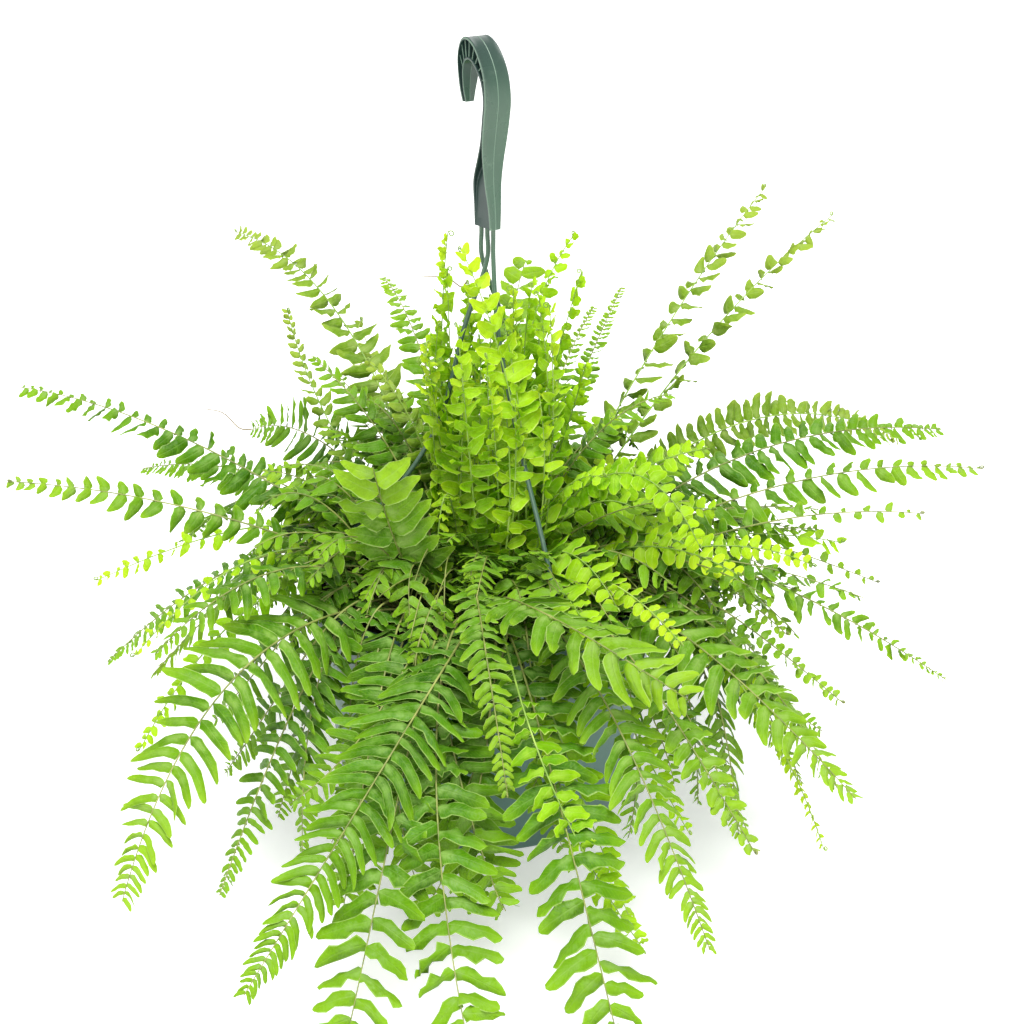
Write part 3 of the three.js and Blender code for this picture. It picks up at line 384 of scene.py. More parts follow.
# How much the leaflets of one frond differ, as shares; powers of a leaflet's width and lean.
SPREADS = dict(length=0.05, width=0.07, hook=0.35, droop=0.35, arch=0.3, wave=0.4)
WIDTH_POWER = 0.72
LEAN_POWER = 1.3
LEAN_SPREAD = 0.6
BASE_TILT = 10
NARROWEST_LEAFLET = 2.6
SHORTEST_SHARE = 1.15
UV_RANGE = (0.04, 0.96)
LEAFY_END = 0.995
STEP_POWER = 0.7
STEP_RANGE = (0.9, 1.1)
FIRST_LEAFLET = 0.6
RIB_HALF_WIDTH = (0.88, 0.3)
RIB_SIDES = 8
RIB_STEP = 5
FEWEST_RIB_STEPS = 12
RIB_SAMPLES = 401
SPIN_CENTRE = 0.4
CURL_RADIUS = 1.7
CURL_TURNS = 1.2
CURL_STEPS = 12
CURL_HALF_WIDTH = (0.5, 0.32)
CURL_END_SHARE = 0.35
FULL_CURL_LEAFLET = 14
HAIR_STEP = 4.5
HAIR_LENGTH = 1.9
HAIR_RADIUS = 0.09
HAIR_LENGTHS = (0.6, 1.3)
HAIR_LEAN = (-0.2, 0.7)
HAIR_SINK = 0.8
HAIR_START = 0.1
# A way that hairs hardly ever point in: one corner of each spike is set square to it.
SPIKE_SIDE = np.array([0.3, 0.5, 0.8])
HAIRY_KINDS = ("young", "tender")
SCALES = 14
SCALE_LENGTH = 4.5
SCALE_REACH = 34
SCALE_REACH_SHARE = 0.2
SCALE_LENGTHS = (0.5, 1.2)
SCALE_LEAN = (0.2, 0.8)
SCALE_HALF_WIDTH = 0.6
SCALE_WIDEST = 0.4
SCALE_ROOT = 0.7
SCALE_RISE = 0.22
SCALE_SINK = 0.12
# Edge of a cell of the grid in which fronds claim their room, and the grid's cells on each axis.
CELL = 2.4
CELLS = 1024
LINE_STEP = 0.7


def fillers(count, azimuths, foot, bends, leaflet, kinds="mature light mature mature young", base=PLAIN,
            **changes):
    """Smaller fronds between the main ones, each joined to the nearest piece: how many; azimuths; ranges
    of the foot's radius, then of radius and height of each bend and of the tip; range of the longest
    leaflet; kinds, in turn; and what they have instead of the kinds' own values."""
    return count, azimuths, foot, bends, leaflet, kinds.split(), {**base, **changes}


FILLERS = [
    fillers(38, (0, 360), (12, 72), [(58, 105, 205, 262), (92, 150, 172, 240)], (17, 26)),
    fillers(30, (-36, 205), (62, 84), [(112, 128, 192, 226), (148, 205, 95, 172)], (18, 28),
        "mature light mature"),
    fillers(24, (0, 360), (8, 40), [(12, 44, 250, 320), (12, 46, 285, 382)], (16, 22), "young tender young",
        CROWN, aspect=0.54),
    fillers(9, (-138, -92), (66, 84), [(116, 130, 200, 224), (160, 190, 140, 185), (172, 232, 38, 105)],
        (22, 30), "mature"),
    fillers(8, (-40, -20), (66, 84), [(116, 130, 200, 224), (160, 190, 140, 185), (190, 252, 40, 110)],
        (20, 28), "mature light"),
    fillers(26, (10, 170), (20, 60), [(60, 100, 235, 290), (105, 150, 225, 285)], (16, 23)),
    fillers(20, (-70, 30), (20, 70), [(80, 118, 205, 245), (120, 175, 150, 210)], (24, 30), "mature",
        aspect=0.36, shape="broad", wave=1.6),
    fillers(14, (150, 240), (20, 70), [(80, 118, 225, 275), (120, 175, 180, 245)], (24, 30), "mature",
        aspect=0.34, shape="broad", wave=1.6),
    fillers(4, (5, 85), (10, 50), [(30, 50, 260, 300), (36, 64, 290, 335)], (17, 22), "young tender",
        CROWN),
    fillers(6, (100, 150), (30, 60), [(60, 100, 235, 285), (110, 180, 260, 310)], (20, 26), "mature",
        aspect=0.32, shape="broad"),
    fillers(12, (-30, 25), (60, 84), [(118, 132, 200, 228), (190, 270, 120, 205)], (20, 27),
        "mature light mature young", LUSH),
    fillers(7, (-114, -84), (66, 84), [(122, 128, 205, 222), (180, 220, 130, 165), (205, 262, 30, 90)],
        (26, 32), "mature", WAVY),
    fillers(14, (-130, -58), (20, 70), [(72, 104, 205, 240), (112, 152, 176, 214)], (24, 30), "mature",
        aspect=0.34, shape="broad", wave=1.6, bare=0.05),
    fillers(9, (-92, -40), (28, 56), [(72, 96, 225, 290), (40, 76, 310, 385)], (15, 19), "young tender",
        CROWN, aspect=0.5, step=1.5),
    fillers(8, (-84, -50), (66, 84), [(120, 128, 205, 222), (162, 202, 130, 170), (172, 226, 62, 122)],
        (24, 30), "mature", aspect=0.3, wave=1.6, bare=0.05),
    fillers(20, (25, 165), (66, 84), [(120, 130, 205, 226), (165, 205, 140, 185), (180, 245, 40, 105)],
        (21, 28), "mature light mature"),
]
# How much the fillers differ, in degrees: azimuth, azimuth of the foot and of each bend, roll.
FILLER_TURN = 6
FILLER_FOOT_TURN = 15
FILLER_BEND_TURN = 10
FILLER_ROLL = 20
FILLER_SEED = 11
LEAFLET_SEED = 1000
# One young frond more, with a foot of its own, on the piece front_6.
EXTRA_FRONDS = [
    ("front_6", (66, -84), *leaf([(142, -83, 214), (276, -88, 184), (286, -70, 38)], 18, "young",
                                 aspect=0.42, step=1.5, bare=0.46, wave=2.2, ripple=0.26, droop=0.12,
                                 tilt=22, stretch=(0.1, 0.5))),
]
# Spreads the fillers of a group evenly over its azimuths.
GOLDEN_SHARE = 0.381966
# What a leaflet tries, in turn, to keep clear of other fronds: size, extra droop, extra tilt.
FITS = [(1, 0, 0), (1, 0.14, 10), (1, -0.16, -10), (0.9, 0.28, 18), (0.86, -0.3, -18),
        (0.78, 0.1, 30), (0.7, 0, -30)]
# How far leaflets stay above the ground, and away from the pot and the mix.
LOWEST_LEAF = 3
LEAF_MARGIN = 2.5
# Materials of each look on a piece: blade, rib, scales, hairs.
LOOKS_PER_KIND = 4
TIP_RISE = 0.2
RUNNER_RADII = (0.55, 0.3)
RUNNER_STEPS = 16
RUNNER_SIDES = 6
# Thin brown runners, with the piece that each grows from.
RUNNERS = [
    ("crown_8", [(-11.6, 32, 365), (-15.5, 31, 362), (-25, 30, 368.5), (-42, 29, 370)]),
    ("back_left_5", [(-190.3, 218.9, 190), (-200, 218, 192), (-212, 217, 205), (-226, 217, 208.5)]),
]


# ------------------------------------------------------------------------------ small helpers
def polar(radius, azimuth, height=0.0):
    angle = math.radians(azimuth)
    return np.array([radius * math.cos(angle), radius * math.sin(angle), height], float)


def unit(v):
    return v / np.maximum(np.linalg.norm(v, axis=-1, keepdims=True), TINY)


def lerp(a, b, share):
    return a + (b - a) * share


def turn(v, axis, angle):
    """v turned about a unit axis, for arrays of vectors and of angles."""
    c = np.cos(angle)[..., None]
    s = np.sin(angle)[..., None]
    dot = np.sum(v * axis, axis=-1, keepdims=True)
    return v * c + np.cross(axis, v) * s + axis * dot * (1 - c)


class Part:
    """Collects points and faces in millimetres, and makes one mesh of them in metres."""

    def __init__(self):
        self.points = []
        self.count = 0
        self.faces = {3: [], 4: []}
        self.looks = {3: [], 4: []}
        self.blade_uv = []
        self.tint_uv = []
        self.outline = []

    def add(self, points, faces, look, blade=None, tint=None, outline=None):
        """faces is a list of integer arrays, n x 3 or n x 4, that count from the first point."""
        points = np.asarray(points, float).reshape(-1, 3)
        size = len(points)
        self.points.append(points)
        middle = np.full((size, 2), 0.5)
        self.blade_uv.append(middle if blade is None else blade.reshape(-1, 2))
        self.tint_uv.append(middle if tint is None else tint.reshape(-1, 2))
        self.outline.append(np.zeros(size, bool) if outline is None else outline.reshape(-1))
        for group in faces:
            if len(group):
                group = np.asarray(group, int)
                self.faces[group.shape[1]].append(group + self.count)
                self.looks[group.shape[1]].append(np.full(len(group), look))
        self.count += size

    def piece(self, name, materials, sharp_angle=None):
        mesh = bpy.data.meshes.new(name)
        points = np.concatenate(self.points) * MM
        mesh.vertices.add(len(points))
        mesh.vertices.foreach_set("co", points.ravel())
        groups = [group for corners in (3, 4) for group in self.faces[corners]]
        looks = [group for corners in (3, 4) for group in self.looks[corners]]
        loops = np.concatenate([group.ravel() for group in groups])
        corners = np.concatenate([np.full(len(group), group.shape[1]) for group in groups])
        mesh.loops.add(len(loops))
        mesh.loops.foreach_set("vertex_index", loops.astype(np.int32))
        mesh.polygons.add(len(corners))
        mesh.polygons.foreach_set("loop_start", (np.cumsum(corners) - corners).astype(np.int32))
        mesh.polygons.foreach_set("material_index", np.concatenate(looks).astype(np.int32))
        for uv_name, values in (("blade", self.blade_uv), ("tint", self.tint_uv)):
            layer = mesh.uv_layers.new(name=uv_name)
            layer.data.foreach_set("uv", np.concatenate(values)[loops].astype(np.float32).ravel())
        mesh.update(calc_edges=True)
        mesh.validate()
        mesh.shade_smooth()
        if sharp_angle:
            mesh.set_sharp_from_angle(angle=math.radians(sharp_angle))
        outline = np.concatenate(self.outline)
        if outline.any():
            ends = np.zeros(len(mesh.edges) * 2, np.int32)
            mesh.edges.foreach_get("vertices", ends)
            sharp = outline[ends.reshape(-1, 2)].all(axis=1)
            mesh.edges.foreach_set("use_edge_sharp", sharp)
        for material in materials:
            mesh.materials.append(material)
        made = bpy.data.objects.new(name, mesh)
        bpy.context.scene.collection.objects.link(made)
        return made


def ring_faces(rings, sides):
    """Faces of a tube of rings; the pole of the start and the pole of the end follow the rings' points."""
    i = np.arange(rings - 1)[:, None] * sides
    k = np.arange(sides)
    after = (k + 1) % sides
    quads = np.stack([i + k, i + after, i + after + sides, i + k + sides], -1).reshape(-1, 4)
    last = (rings - 1) * sides
    start = np.stack([np.full(sides, rings * sides), after, k], -1)
    end = np.stack([np.full(sides, rings * sides + 1), last + k, last + after], -1)
    return quads, np.concatenate([start, end])


def tube(part, rings, start, end, look):
    """A closed tube through rings of points, with a pole at each end."""
    points = np.concatenate([*rings, [start, end]])
    part.add(points, ring_faces(len(rings), len(rings[0])), look)


SWEEP_OFFSET = 0.31
STEEP = 0.9


def sweep(part, line, radii, look, sides, rise=0.0):
    """A round tube along a line of points; rise is how far its closed ends stand out."""
    line = np.asarray(line, float)
    tangents = unit(np.gradient(line, axis=0))
    start = np.array([0.0, 0.0, 1.0])
    if abs(tangents[0] @ start) > STEEP:
        start = np.array([1.0, 0.0, 0.0])
    side = unit(start - tangents[0] * (tangents[0] @ start))
    rings = []
    angles = (np.arange(sides) + SWEEP_OFFSET) * 2 * math.pi / sides
    radii = np.broadcast_to(np.asarray(radii, float), (len(line),))
    for at, tangent, radius in zip(line, tangents, radii):
        side = unit(side - tangent * (tangent @ side))
        other = np.cross(tangent, side)
        rings.append(at + radius * (np.cos(angles)[:, None] * side + np.sin(angles)[:, None] * other))
    tube(part, rings, line[0] - tangents[0] * rise, line[-1] + tangents[-1] * rise, look)


def smooth_curve(points, steps, centripetal=False):
    """A Catmull-Rom curve through the points, as the part's source makes it."""
    points = np.asarray(points, float)
    first = 2 * points[0] - points[1]
    last = 2 * points[-1] - points[-2]
    padded = np.vstack([first, points, last])
    spans = len(points) - 1
    made = []
    for share in np.linspace(0, 1, steps + 1):
        place = share * spans
        i = min(int(place), spans - 1)
        w = place - i
        p0, p1, p2, p3 = padded[i:i + 4]
        if centripetal:
            d0, d1, d2 = (np.linalg.norm(b - a) ** 0.5 for a, b in ((p0, p1), (p1, p2), (p2, p3)))
            t1 = ((p1 - p0) / d0 - (p2 - p0) / (d0 + d1) + (p2 - p1) / d1) * d1
            t2 = ((p2 - p1) / d1 - (p3 - p1) / (d1 + d2) + (p3 - p2) / d2) * d1
        else:
            t1 = (p2 - p0) / 2
            t2 = (p3 - p1) / 2
        made.append(p1 + t1 * w + (3 * (p2 - p1) - 2 * t1 - t2) * w ** 2
                    + (2 * (p1 - p2) + t1 + t2) * w ** 3)
    return np.array(made)


def cut(target, cutters):
    """Takes the cutters out of the target's mesh, and deletes them."""
    for cutter in cutters:
        modifier = target.modifiers.new("cut", "BOOLEAN")
        modifier.operation = "DIFFERENCE"
        modifier.solver = "MANIFOLD"
        modifier.object = cutter
    bpy.context.view_layer.update()
    graph = bpy.context.evaluated_depsgraph_get()
    mesh = bpy.data.meshes.new_from_object(target.evaluated_get(graph))
    old = target.data
    target.modifiers.clear()
    target.data = mesh
    bpy.data.meshes.remove(old)
    mesh.name = target.name
    mesh.shade_smooth()
    mesh.set_sharp_from_angle(angle=math.radians(CUT_SHARP_ANGLE))
    for cutter in cutters:
        bpy.data.objects.remove(cutter)


def post(at, low, high, radius):
    """A round cutter that stands on a place."""
    part = Part()
    sweep(part, [(at[0], at[1], low), (at[0], at[1], high)], radius, 0, CUTTER_SIDES)
    return part.piece("cutter", [])


def dress(made, node, slot):
    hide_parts(node)
    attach(made, BODY)


# ------------------------------------------------------------------------------ material nodes
# Noise for each use: scale, detail, roughness.
NOISE = {
    "leaf_mottle": (120.0, 5.0, 0.65), "leaf_soft": (16.0, 2.0, 0.55), "leaf_clouds": (75.0, 3.0, 0.6),
    "leaf_puckers": (170.0, 2.0, 0.55), "leaf_gloss": (60.0, 2.0, 0.55), "rib_mottle": (160.0, 3.0, 0.55),
    "rib_soft": (22.0, 2.0, 0.55), "plastic_clouds": (9.0, 4.0, 0.55), "plastic_spots": (70.0, 5.0, 0.7),
    "plastic_gloss": (40.0, 3.0, 0.55), "pot_grain": (900.0, 3.0, 0.55), "hanger_grain": (700.0, 3.0, 0.55),
    "mix_coarse": (45.0, 5.0, 0.55), "plain": (220.0, 3.0, 0.55), "floor_clouds": (2.2, 3.0, 0.55),
    "floor_grain": (260.0, 3.0, 0.55),
}
# Bumps for each use: strength, and height in metres.
BUMPS = {"leaf_puckers": (0.7, 0.0022), "leaf_veins": (0.4, 0.0006), "rib": (0.3, 0.0004),
         "plastic": (0.22, 0.0003), "mix": (0.8, 0.0012), "floor": (0.04, 0.0003)}


class Graph:
    """A material's nodes, with short ways to add the ones that are used here."""

    def __init__(self, name):
        self.material = bpy.data.materials.new(name)
        self.material.use_nodes = True
        self.nodes = self.material.node_tree.nodes
        self.links = self.material.node_tree.links
        self.nodes.clear()
        self.output = self.nodes.new("ShaderNodeOutputMaterial")

    def put(self, socket, value):
        if isinstance(value, bpy.types.NodeSocket):
            self.links.new(value, socket)
        elif hasattr(value, "__len__") and len(value) == 3 and socket.type == "RGBA":
            socket.default_value = (*value, 1)
        else:
            socket.default_value = value

    def add(self, kind, out=0, settings=None, **inputs):
        made = self.nodes.new("ShaderNode" + kind)
        for key, value in (settings or {}).items():
            setattr(made, key, value)
        for key, value in inputs.items():
            name = key.replace("_", " ")
            place = int(key[1:]) if key[0] == "i" and key[1:].isdigit() else name
            self.put(made.inputs[place], value)
        return made.outputs[out]

    def math(self, operation, a, b=0.0):
        return self.add("Math", settings=dict(operation=operation), i0=a, i1=b)

    def ramp(self, value, low, high, to_low=0.0, to_high=1.0):
        """value taken from low..high to to_low..to_high with soft ends."""
        return self.add("MapRange", settings=dict(interpolation_type="SMOOTHSTEP"),
                        i0=value, i1=low, i2=high, i3=to_low, i4=to_high)

    def mix(self, share, a, b):
        return self.add("Mix", out=2, settings=dict(data_type="RGBA"), i0=share, i6=a, i7=b)

    def layers(self, colour, *steps):
        """Lays colours over the first one, each by its own mask."""
        for share, over in steps:
            colour = self.mix(share, colour, over)
        return colour

    def place(self):
        return self.add("TexCoord", out=3)

    def noise(self, use):
        scale, detail, roughness = NOISE[use]
        return self.add("TexNoise", Vector=self.place(), Scale=scale, Detail=detail, Roughness=roughness)

    def split(self, vector):
        made = self.nodes.new("ShaderNodeSeparateXYZ")
        self.links.new(vector, made.inputs[0])
        return list(made.outputs)

    def uv(self, name):
        return self.split(self.add("UVMap", settings=dict(uv_map=name)))[:2]

    def bump(self, height, use, **inputs):
        strength, distance = BUMPS[use]
        return self.add("Bump", Height=height, Strength=strength, Distance=distance, **inputs)

    def principled(self, **inputs):
        return self.add("BsdfPrincipled", **inputs)

    def done(self, shader):
        self.links.new(shader, self.output.inputs[0])
        return self.material


LEAF_COLOURS = {
    # shade, body, bright patches, frond's tip, margin, light through the blade, painted pale sheen
    "mature": ((0.022, 0.098, 0.002), (0.066, 0.205, 0.004), (0.12, 0.30, 0.012), (0.25, 0.48, 0.012),
               (0.34, 0.50, 0.12), (0.20, 0.50, 0.01), (0.22, 0.38, 0.08)),
    "light": ((0.055, 0.18, 0.004), (0.125, 0.31, 0.008), (0.20, 0.42, 0.03), (0.37, 0.60, 0.025),
              (0.46, 0.62, 0.18), (0.32, 0.62, 0.02), (0.30, 0.47, 0.10)),
    "young": ((0.13, 0.36, 0.004), (0.28, 0.55, 0.006), (0.40, 0.69, 0.012), (0.56, 0.80, 0.02),
              (0.70, 0.84, 0.20), (0.52, 0.84, 0.01), (0.44, 0.66, 0.07)),
    "tender": ((0.21, 0.46, 0.005), (0.38, 0.64, 0.008), (0.52, 0.76, 0.015), (0.70, 0.84, 0.03),
               (0.80, 0.88, 0.24), (0.60, 0.88, 0.02), (0.52, 0.74, 0.08)),
    "outer": ((0.085, 0.20, 0.006), (0.165, 0.31, 0.014), (0.27, 0.43, 0.04), (0.40, 0.54, 0.06),
              (0.48, 0.58, 0.18), (0.33, 0.52, 0.03), (0.31, 0.43, 0.10)),
}
LEAF_ROUGHNESS = {"mature": 0.36, "light": 0.38, "young": 0.44, "tender": 0.46, "outer": 0.42}
LEAF_THROUGH = {"mature": 0.2, "light": 0.32, "young": 0.46, "tender": 0.48, "outer": 0.26}
LEAF_SPECULAR = 0.13
VEINS_ALONG = 118.0
VEIN_SLANT = -13.0
VEIN_STRENGTH = 0.16
MARGIN_STRENGTH = 0.8
MIDRIB_STRENGTH = 0.14
THROUGH_SHARE = 0.65


def leaf_material(kind):
    shade, body, patch, tip, margin, through, sheen = LEAF_COLOURS[kind]
    g = Graph("leaf_" + kind)
    along, across = g.uv("blade")
    chance, age = g.uv("tint")
    offset = g.math("ADD", g.math("MULTIPLY", across, 2.0), -1.0)
    from_middle = g.math("ABSOLUTE", offset)
    mottle = g.noise("leaf_mottle")
    soft = g.noise("leaf_soft")
    clouds = g.ramp(g.noise("leaf_clouds"), 0.4, 0.62)
    colour = g.layers(shade,
                      (g.ramp(chance, 0.0, 0.7), body),
                      (g.ramp(soft, 0.35, 0.7, 0.0, 0.6), body),
                      (g.ramp(mottle, 0.44, 0.7, 0.0, 0.6), patch),
                      (g.ramp(along, 0.55, 1.0, 0.0, 0.6), tip),
                      # darker towards the frond's foot: the older leaflets' darker tone, with painted shade
                      # deep in the crown
                      (g.ramp(age, 0.45, 0.0, 0.0, 0.7), shade),
                      (g.ramp(age, 0.5, 1.0, 0.0, 0.8), tip))
    # Where the painted pale sheen lies: in cloudy patches, strongest towards the leaflet's base.
    painted_sheen_mask = g.math("MULTIPLY", clouds, g.ramp(along, 0.85, 0.2))
    stripes = g.math("SINE", g.math("ADD", g.math("MULTIPLY", along, VEINS_ALONG),
                                    g.math("MULTIPLY", from_middle, VEIN_SLANT)))
    veins = g.math("MULTIPLY", g.ramp(stripes, 0.45, 1.0), g.ramp(from_middle, 0.05, 0.2))
    midrib = g.ramp(from_middle, 0.13, 0.03)
    colour = g.layers(colour,
                      # painted pale sheen: a reflection laid into the colour
                      (g.math("MULTIPLY", painted_sheen_mask, g.ramp(from_middle, 0.95, 0.4, 0.0, 0.8)), sheen),
                      (g.math("MULTIPLY", veins, VEIN_STRENGTH), tip),
                      # pale margin: a painted edge highlight
                      (g.math("MULTIPLY", g.ramp(from_middle, 0.84, 0.985), MARGIN_STRENGTH), margin),
                      (g.math("MULTIPLY", midrib, MIDRIB_STRENGTH), margin))
    height = g.math("ADD", g.math("MULTIPLY", veins, -0.5), g.math("MULTIPLY", mottle, 0.8))
    height = g.math("SUBTRACT", height, midrib)
    puckers = g.bump(g.noise("leaf_puckers"), "leaf_puckers")
    normal = g.bump(height, "leaf_veins", Normal=puckers)
    roughness = LEAF_ROUGHNESS[kind]
    rough = g.ramp(g.noise("leaf_gloss"), 0.3, 0.7, roughness - 0.08, roughness + 0.1)
    face = g.principled(Base_Color=colour, Roughness=rough, Normal=normal, Specular_IOR_Level=LEAF_SPECULAR)
    glow = g.add("BsdfTranslucent", Color=g.mix(THROUGH_SHARE, colour, through), Normal=normal)
    shader = g.add("MixShader", i0=LEAF_THROUGH[kind], i1=face, i2=glow)
    return g.done(shader)


def rib_material(name, body, dark, pale):
    g = Graph(name)
    mottle = g.noise("rib_mottle")
    colour = g.layers(dark, (g.ramp(mottle, 0.35, 0.7), body),
                      (g.ramp(g.noise("rib_soft"), 0.45, 0.75, 0.0, 0.6), pale))
    rough = g.ramp(mottle, 0.3, 0.7, 0.42, 0.62)
    return g.done(g.principled(Base_Color=colour, Roughness=rough, Normal=g.bump(mottle, "rib")))


def plastic_material(name, body, pale_spots_and_edges, shade, roughness, grain, top_shade=None):
    """Moulded plastic; where two heights and a colour are given, above them it goes over to that colour, a
    painted shade.
    """
    g = Graph(name)
    clouds = g.noise("plastic_clouds")
    spots = g.noise("plastic_spots")
    # The colour goes paler along sharp convex edges.
    edges = g.add("NewGeometry", out=7)
    colour = g.layers(shade, (g.ramp(clouds, 0.38, 0.64), body),
                      (g.ramp(spots, 0.58, 0.74, 0.0, 0.35), pale_spots_and_edges),
                      (g.ramp(edges, 0.53, 0.6, 0.0, 0.55), pale_spots_and_edges))
    # painted shade: above the given heights the colour goes darker
    if top_shade:
        low, high, top_shade_colour = top_shade
        colour = g.mix(g.ramp(g.split(g.place())[2], low, high, 0.0, 0.85), colour, top_shade_colour)
    rough = g.ramp(g.noise("plastic_gloss"), 0.3, 0.72, roughness - 0.07, roughness + 0.09)
    normal = g.bump(g.noise(grain), "plastic")
    return g.done(g.principled(Base_Color=colour, Roughness=rough, Normal=normal))


CRUMB_SCALE = 420.0
MIX_DARK = (0.012, 0.008, 0.005)
MIX_BROWN = (0.05, 0.03, 0.018)
MIX_PALE = (0.085, 0.055, 0.032)
MIX_GRIT = (0.55, 0.52, 0.46)
MIX_ROUGHNESS = 0.93


def mix_material():
    g = Graph("growing_mix")
    crumbs = g.add("TexVoronoi", out=1, Vector=g.place(), Scale=CRUMB_SCALE)
    cell, pick, _ = g.split(crumbs)
    coarse = g.noise("mix_coarse")
    colour = g.layers(MIX_DARK, (g.ramp(cell, 0.1, 0.9), MIX_BROWN),
                      (g.ramp(coarse, 0.4, 0.7, 0.0, 0.7), MIX_PALE),
                      (g.ramp(pick, 0.955, 0.97), MIX_GRIT))
    height = g.math("ADD", g.math("MULTIPLY", cell, 0.5), coarse)
    return g.done(g.principled(Base_Color=colour, Roughness=MIX_ROUGHNESS, Normal=g.bump(height, "mix")))


def plain_material(name, body, other, roughness):
    g = Graph(name)
    colour = g.mix(g.ramp(g.noise("plain"), 0.35, 0.7), body, other)
    return g.done(g.principled(Base_Color=colour, Roughness=roughness))


FLOOR_COLOURS = ((0.74, 0.745, 0.74), (0.78, 0.78, 0.775))
FLOOR_ROUGHNESS = 0.75
FLOOR_GLOW = 0.46
FLOOR_GLOW_COLOUR = (1, 1, 0.985)


def floor_material():
    g = Graph("floor_paint")
    colour = g.mix(g.ramp(g.noise("floor_clouds"), 0.3, 0.7), *FLOOR_COLOURS)
    grain = g.bump(g.noise("floor_grain"), "floor")
    return g.done(g.principled(Base_Color=colour, Roughness=FLOOR_ROUGHNESS, Normal=grain,
                               Emission_Color=FLOOR_GLOW_COLOUR, Emission_Strength=FLOOR_GLOW))


LEAVES = {look: leaf_material(look) for look in LEAF_COLOURS}
TAN_RIB = rib_material("rib_tan", (0.24, 0.28, 0.06), (0.13, 0.17, 0.03), (0.4, 0.42, 0.13))
GREEN_RIB = rib_material("rib_green", (0.25, 0.40, 0.05), (0.15, 0.28, 0.03), (0.42, 0.56, 0.12))
RIBS = {"mature": TAN_RIB, "light": TAN_RIB, "young": GREEN_RIB, "tender": GREEN_RIB, "outer": GREEN_RIB}
SCALE_BROWN = plain_material("scale_brown", (0.16, 0.115, 0.045), (0.27, 0.2, 0.09), 0.8)
HAIR_PALE = plain_material("hair_pale", (0.6, 0.68, 0.36), (0.75, 0.78, 0.5), 0.7)
POT_PLASTIC = plastic_material("pot_plastic", (0.082, 0.172, 0.146), (0.17, 0.27, 0.235),
                               (0.06, 0.135, 0.113), 0.42, "pot_grain")
# The hook's colour darkens towards its top: painted shade.
HANGER_PLASTIC = plastic_material("hanger_plastic", (0.062, 0.122, 0.078), (0.2, 0.29, 0.21),
                                  (0.046, 0.096, 0.062), 0.3, "hanger_grain",
                                  (0.478, 0.53, (0.026, 0.048, 0.042)))
# Dark plastic for the hook's web, sides and rib faces: painted shade in its recesses.
HANGER_SHADE = plastic_material("hanger_shade", (0.016, 0.042, 0.034), (0.04, 0.085, 0.065),
                                (0.011, 0.03, 0.024), 0.4, "hanger_grain")
# Pale plastic for thin lines on the hook's edges, lips, mould lines and rib edges: painted highlights.
HANGER_HIGHLIGHT = plastic_material("hanger_highlight", (0.12, 0.2, 0.14), (0.26, 0.36, 0.28),
                               (0.1, 0.17, 0.12), 0.4, "hanger_grain")
GROWING_MIX = mix_material()


# ------------------------------------------------------------------------------ pot and mix
def wall_radius(z):
    return lerp(POT_BASE_RADIUS, POT_TOP_RADIUS, z / POT_HEIGHT)


def inside_radius(z):
    return wall_radius(z) - POT_WALL


def mix_radius(z):
    return inside_radius(z) - CLEARANCE


def rounded(corner, before, after, radius):
    """Points of a small arc in place of a corner between two others."""
    corner, before, after = (np.asarray(p, float) for p in (corner, before, after))
    a = corner + unit(before - corner) * radius
    b = corner + unit(after - corner) * radius
    return [(1 - t) ** 2 * a + 2 * t * (1 - t) * corner + t * t * b
            for t in np.linspace(0, 1, ROUND_STEPS + 1)]


def rounded_profile(corners):
    """corners holds (radius from the axis, height, rounding)."""
    points = []
    for i, (r, z, radius) in enumerate(corners):
        if radius:
            before = corners[i - 1][:2]
            after = corners[(i + 1) % len(corners)][:2]
            points += rounded((r, z), before, after, radius)
        else:
            points.append(np.array([r, z], float))
    return np.array(points)


def turned(part, profile, sides, look):
    """A body turned about the axis; the profile starts and ends on it, or nearly so."""
    angles = np.arange(sides) * 2 * math.pi / sides
    rings = [np.stack([r * np.cos(angles), r * np.sin(angles), np.full(sides, z)], -1)
             for r, z in profile[1:-1]]
    tube(part, rings, (0, 0, profile[0][1]), (0, 0, profile[-1][1]), look)


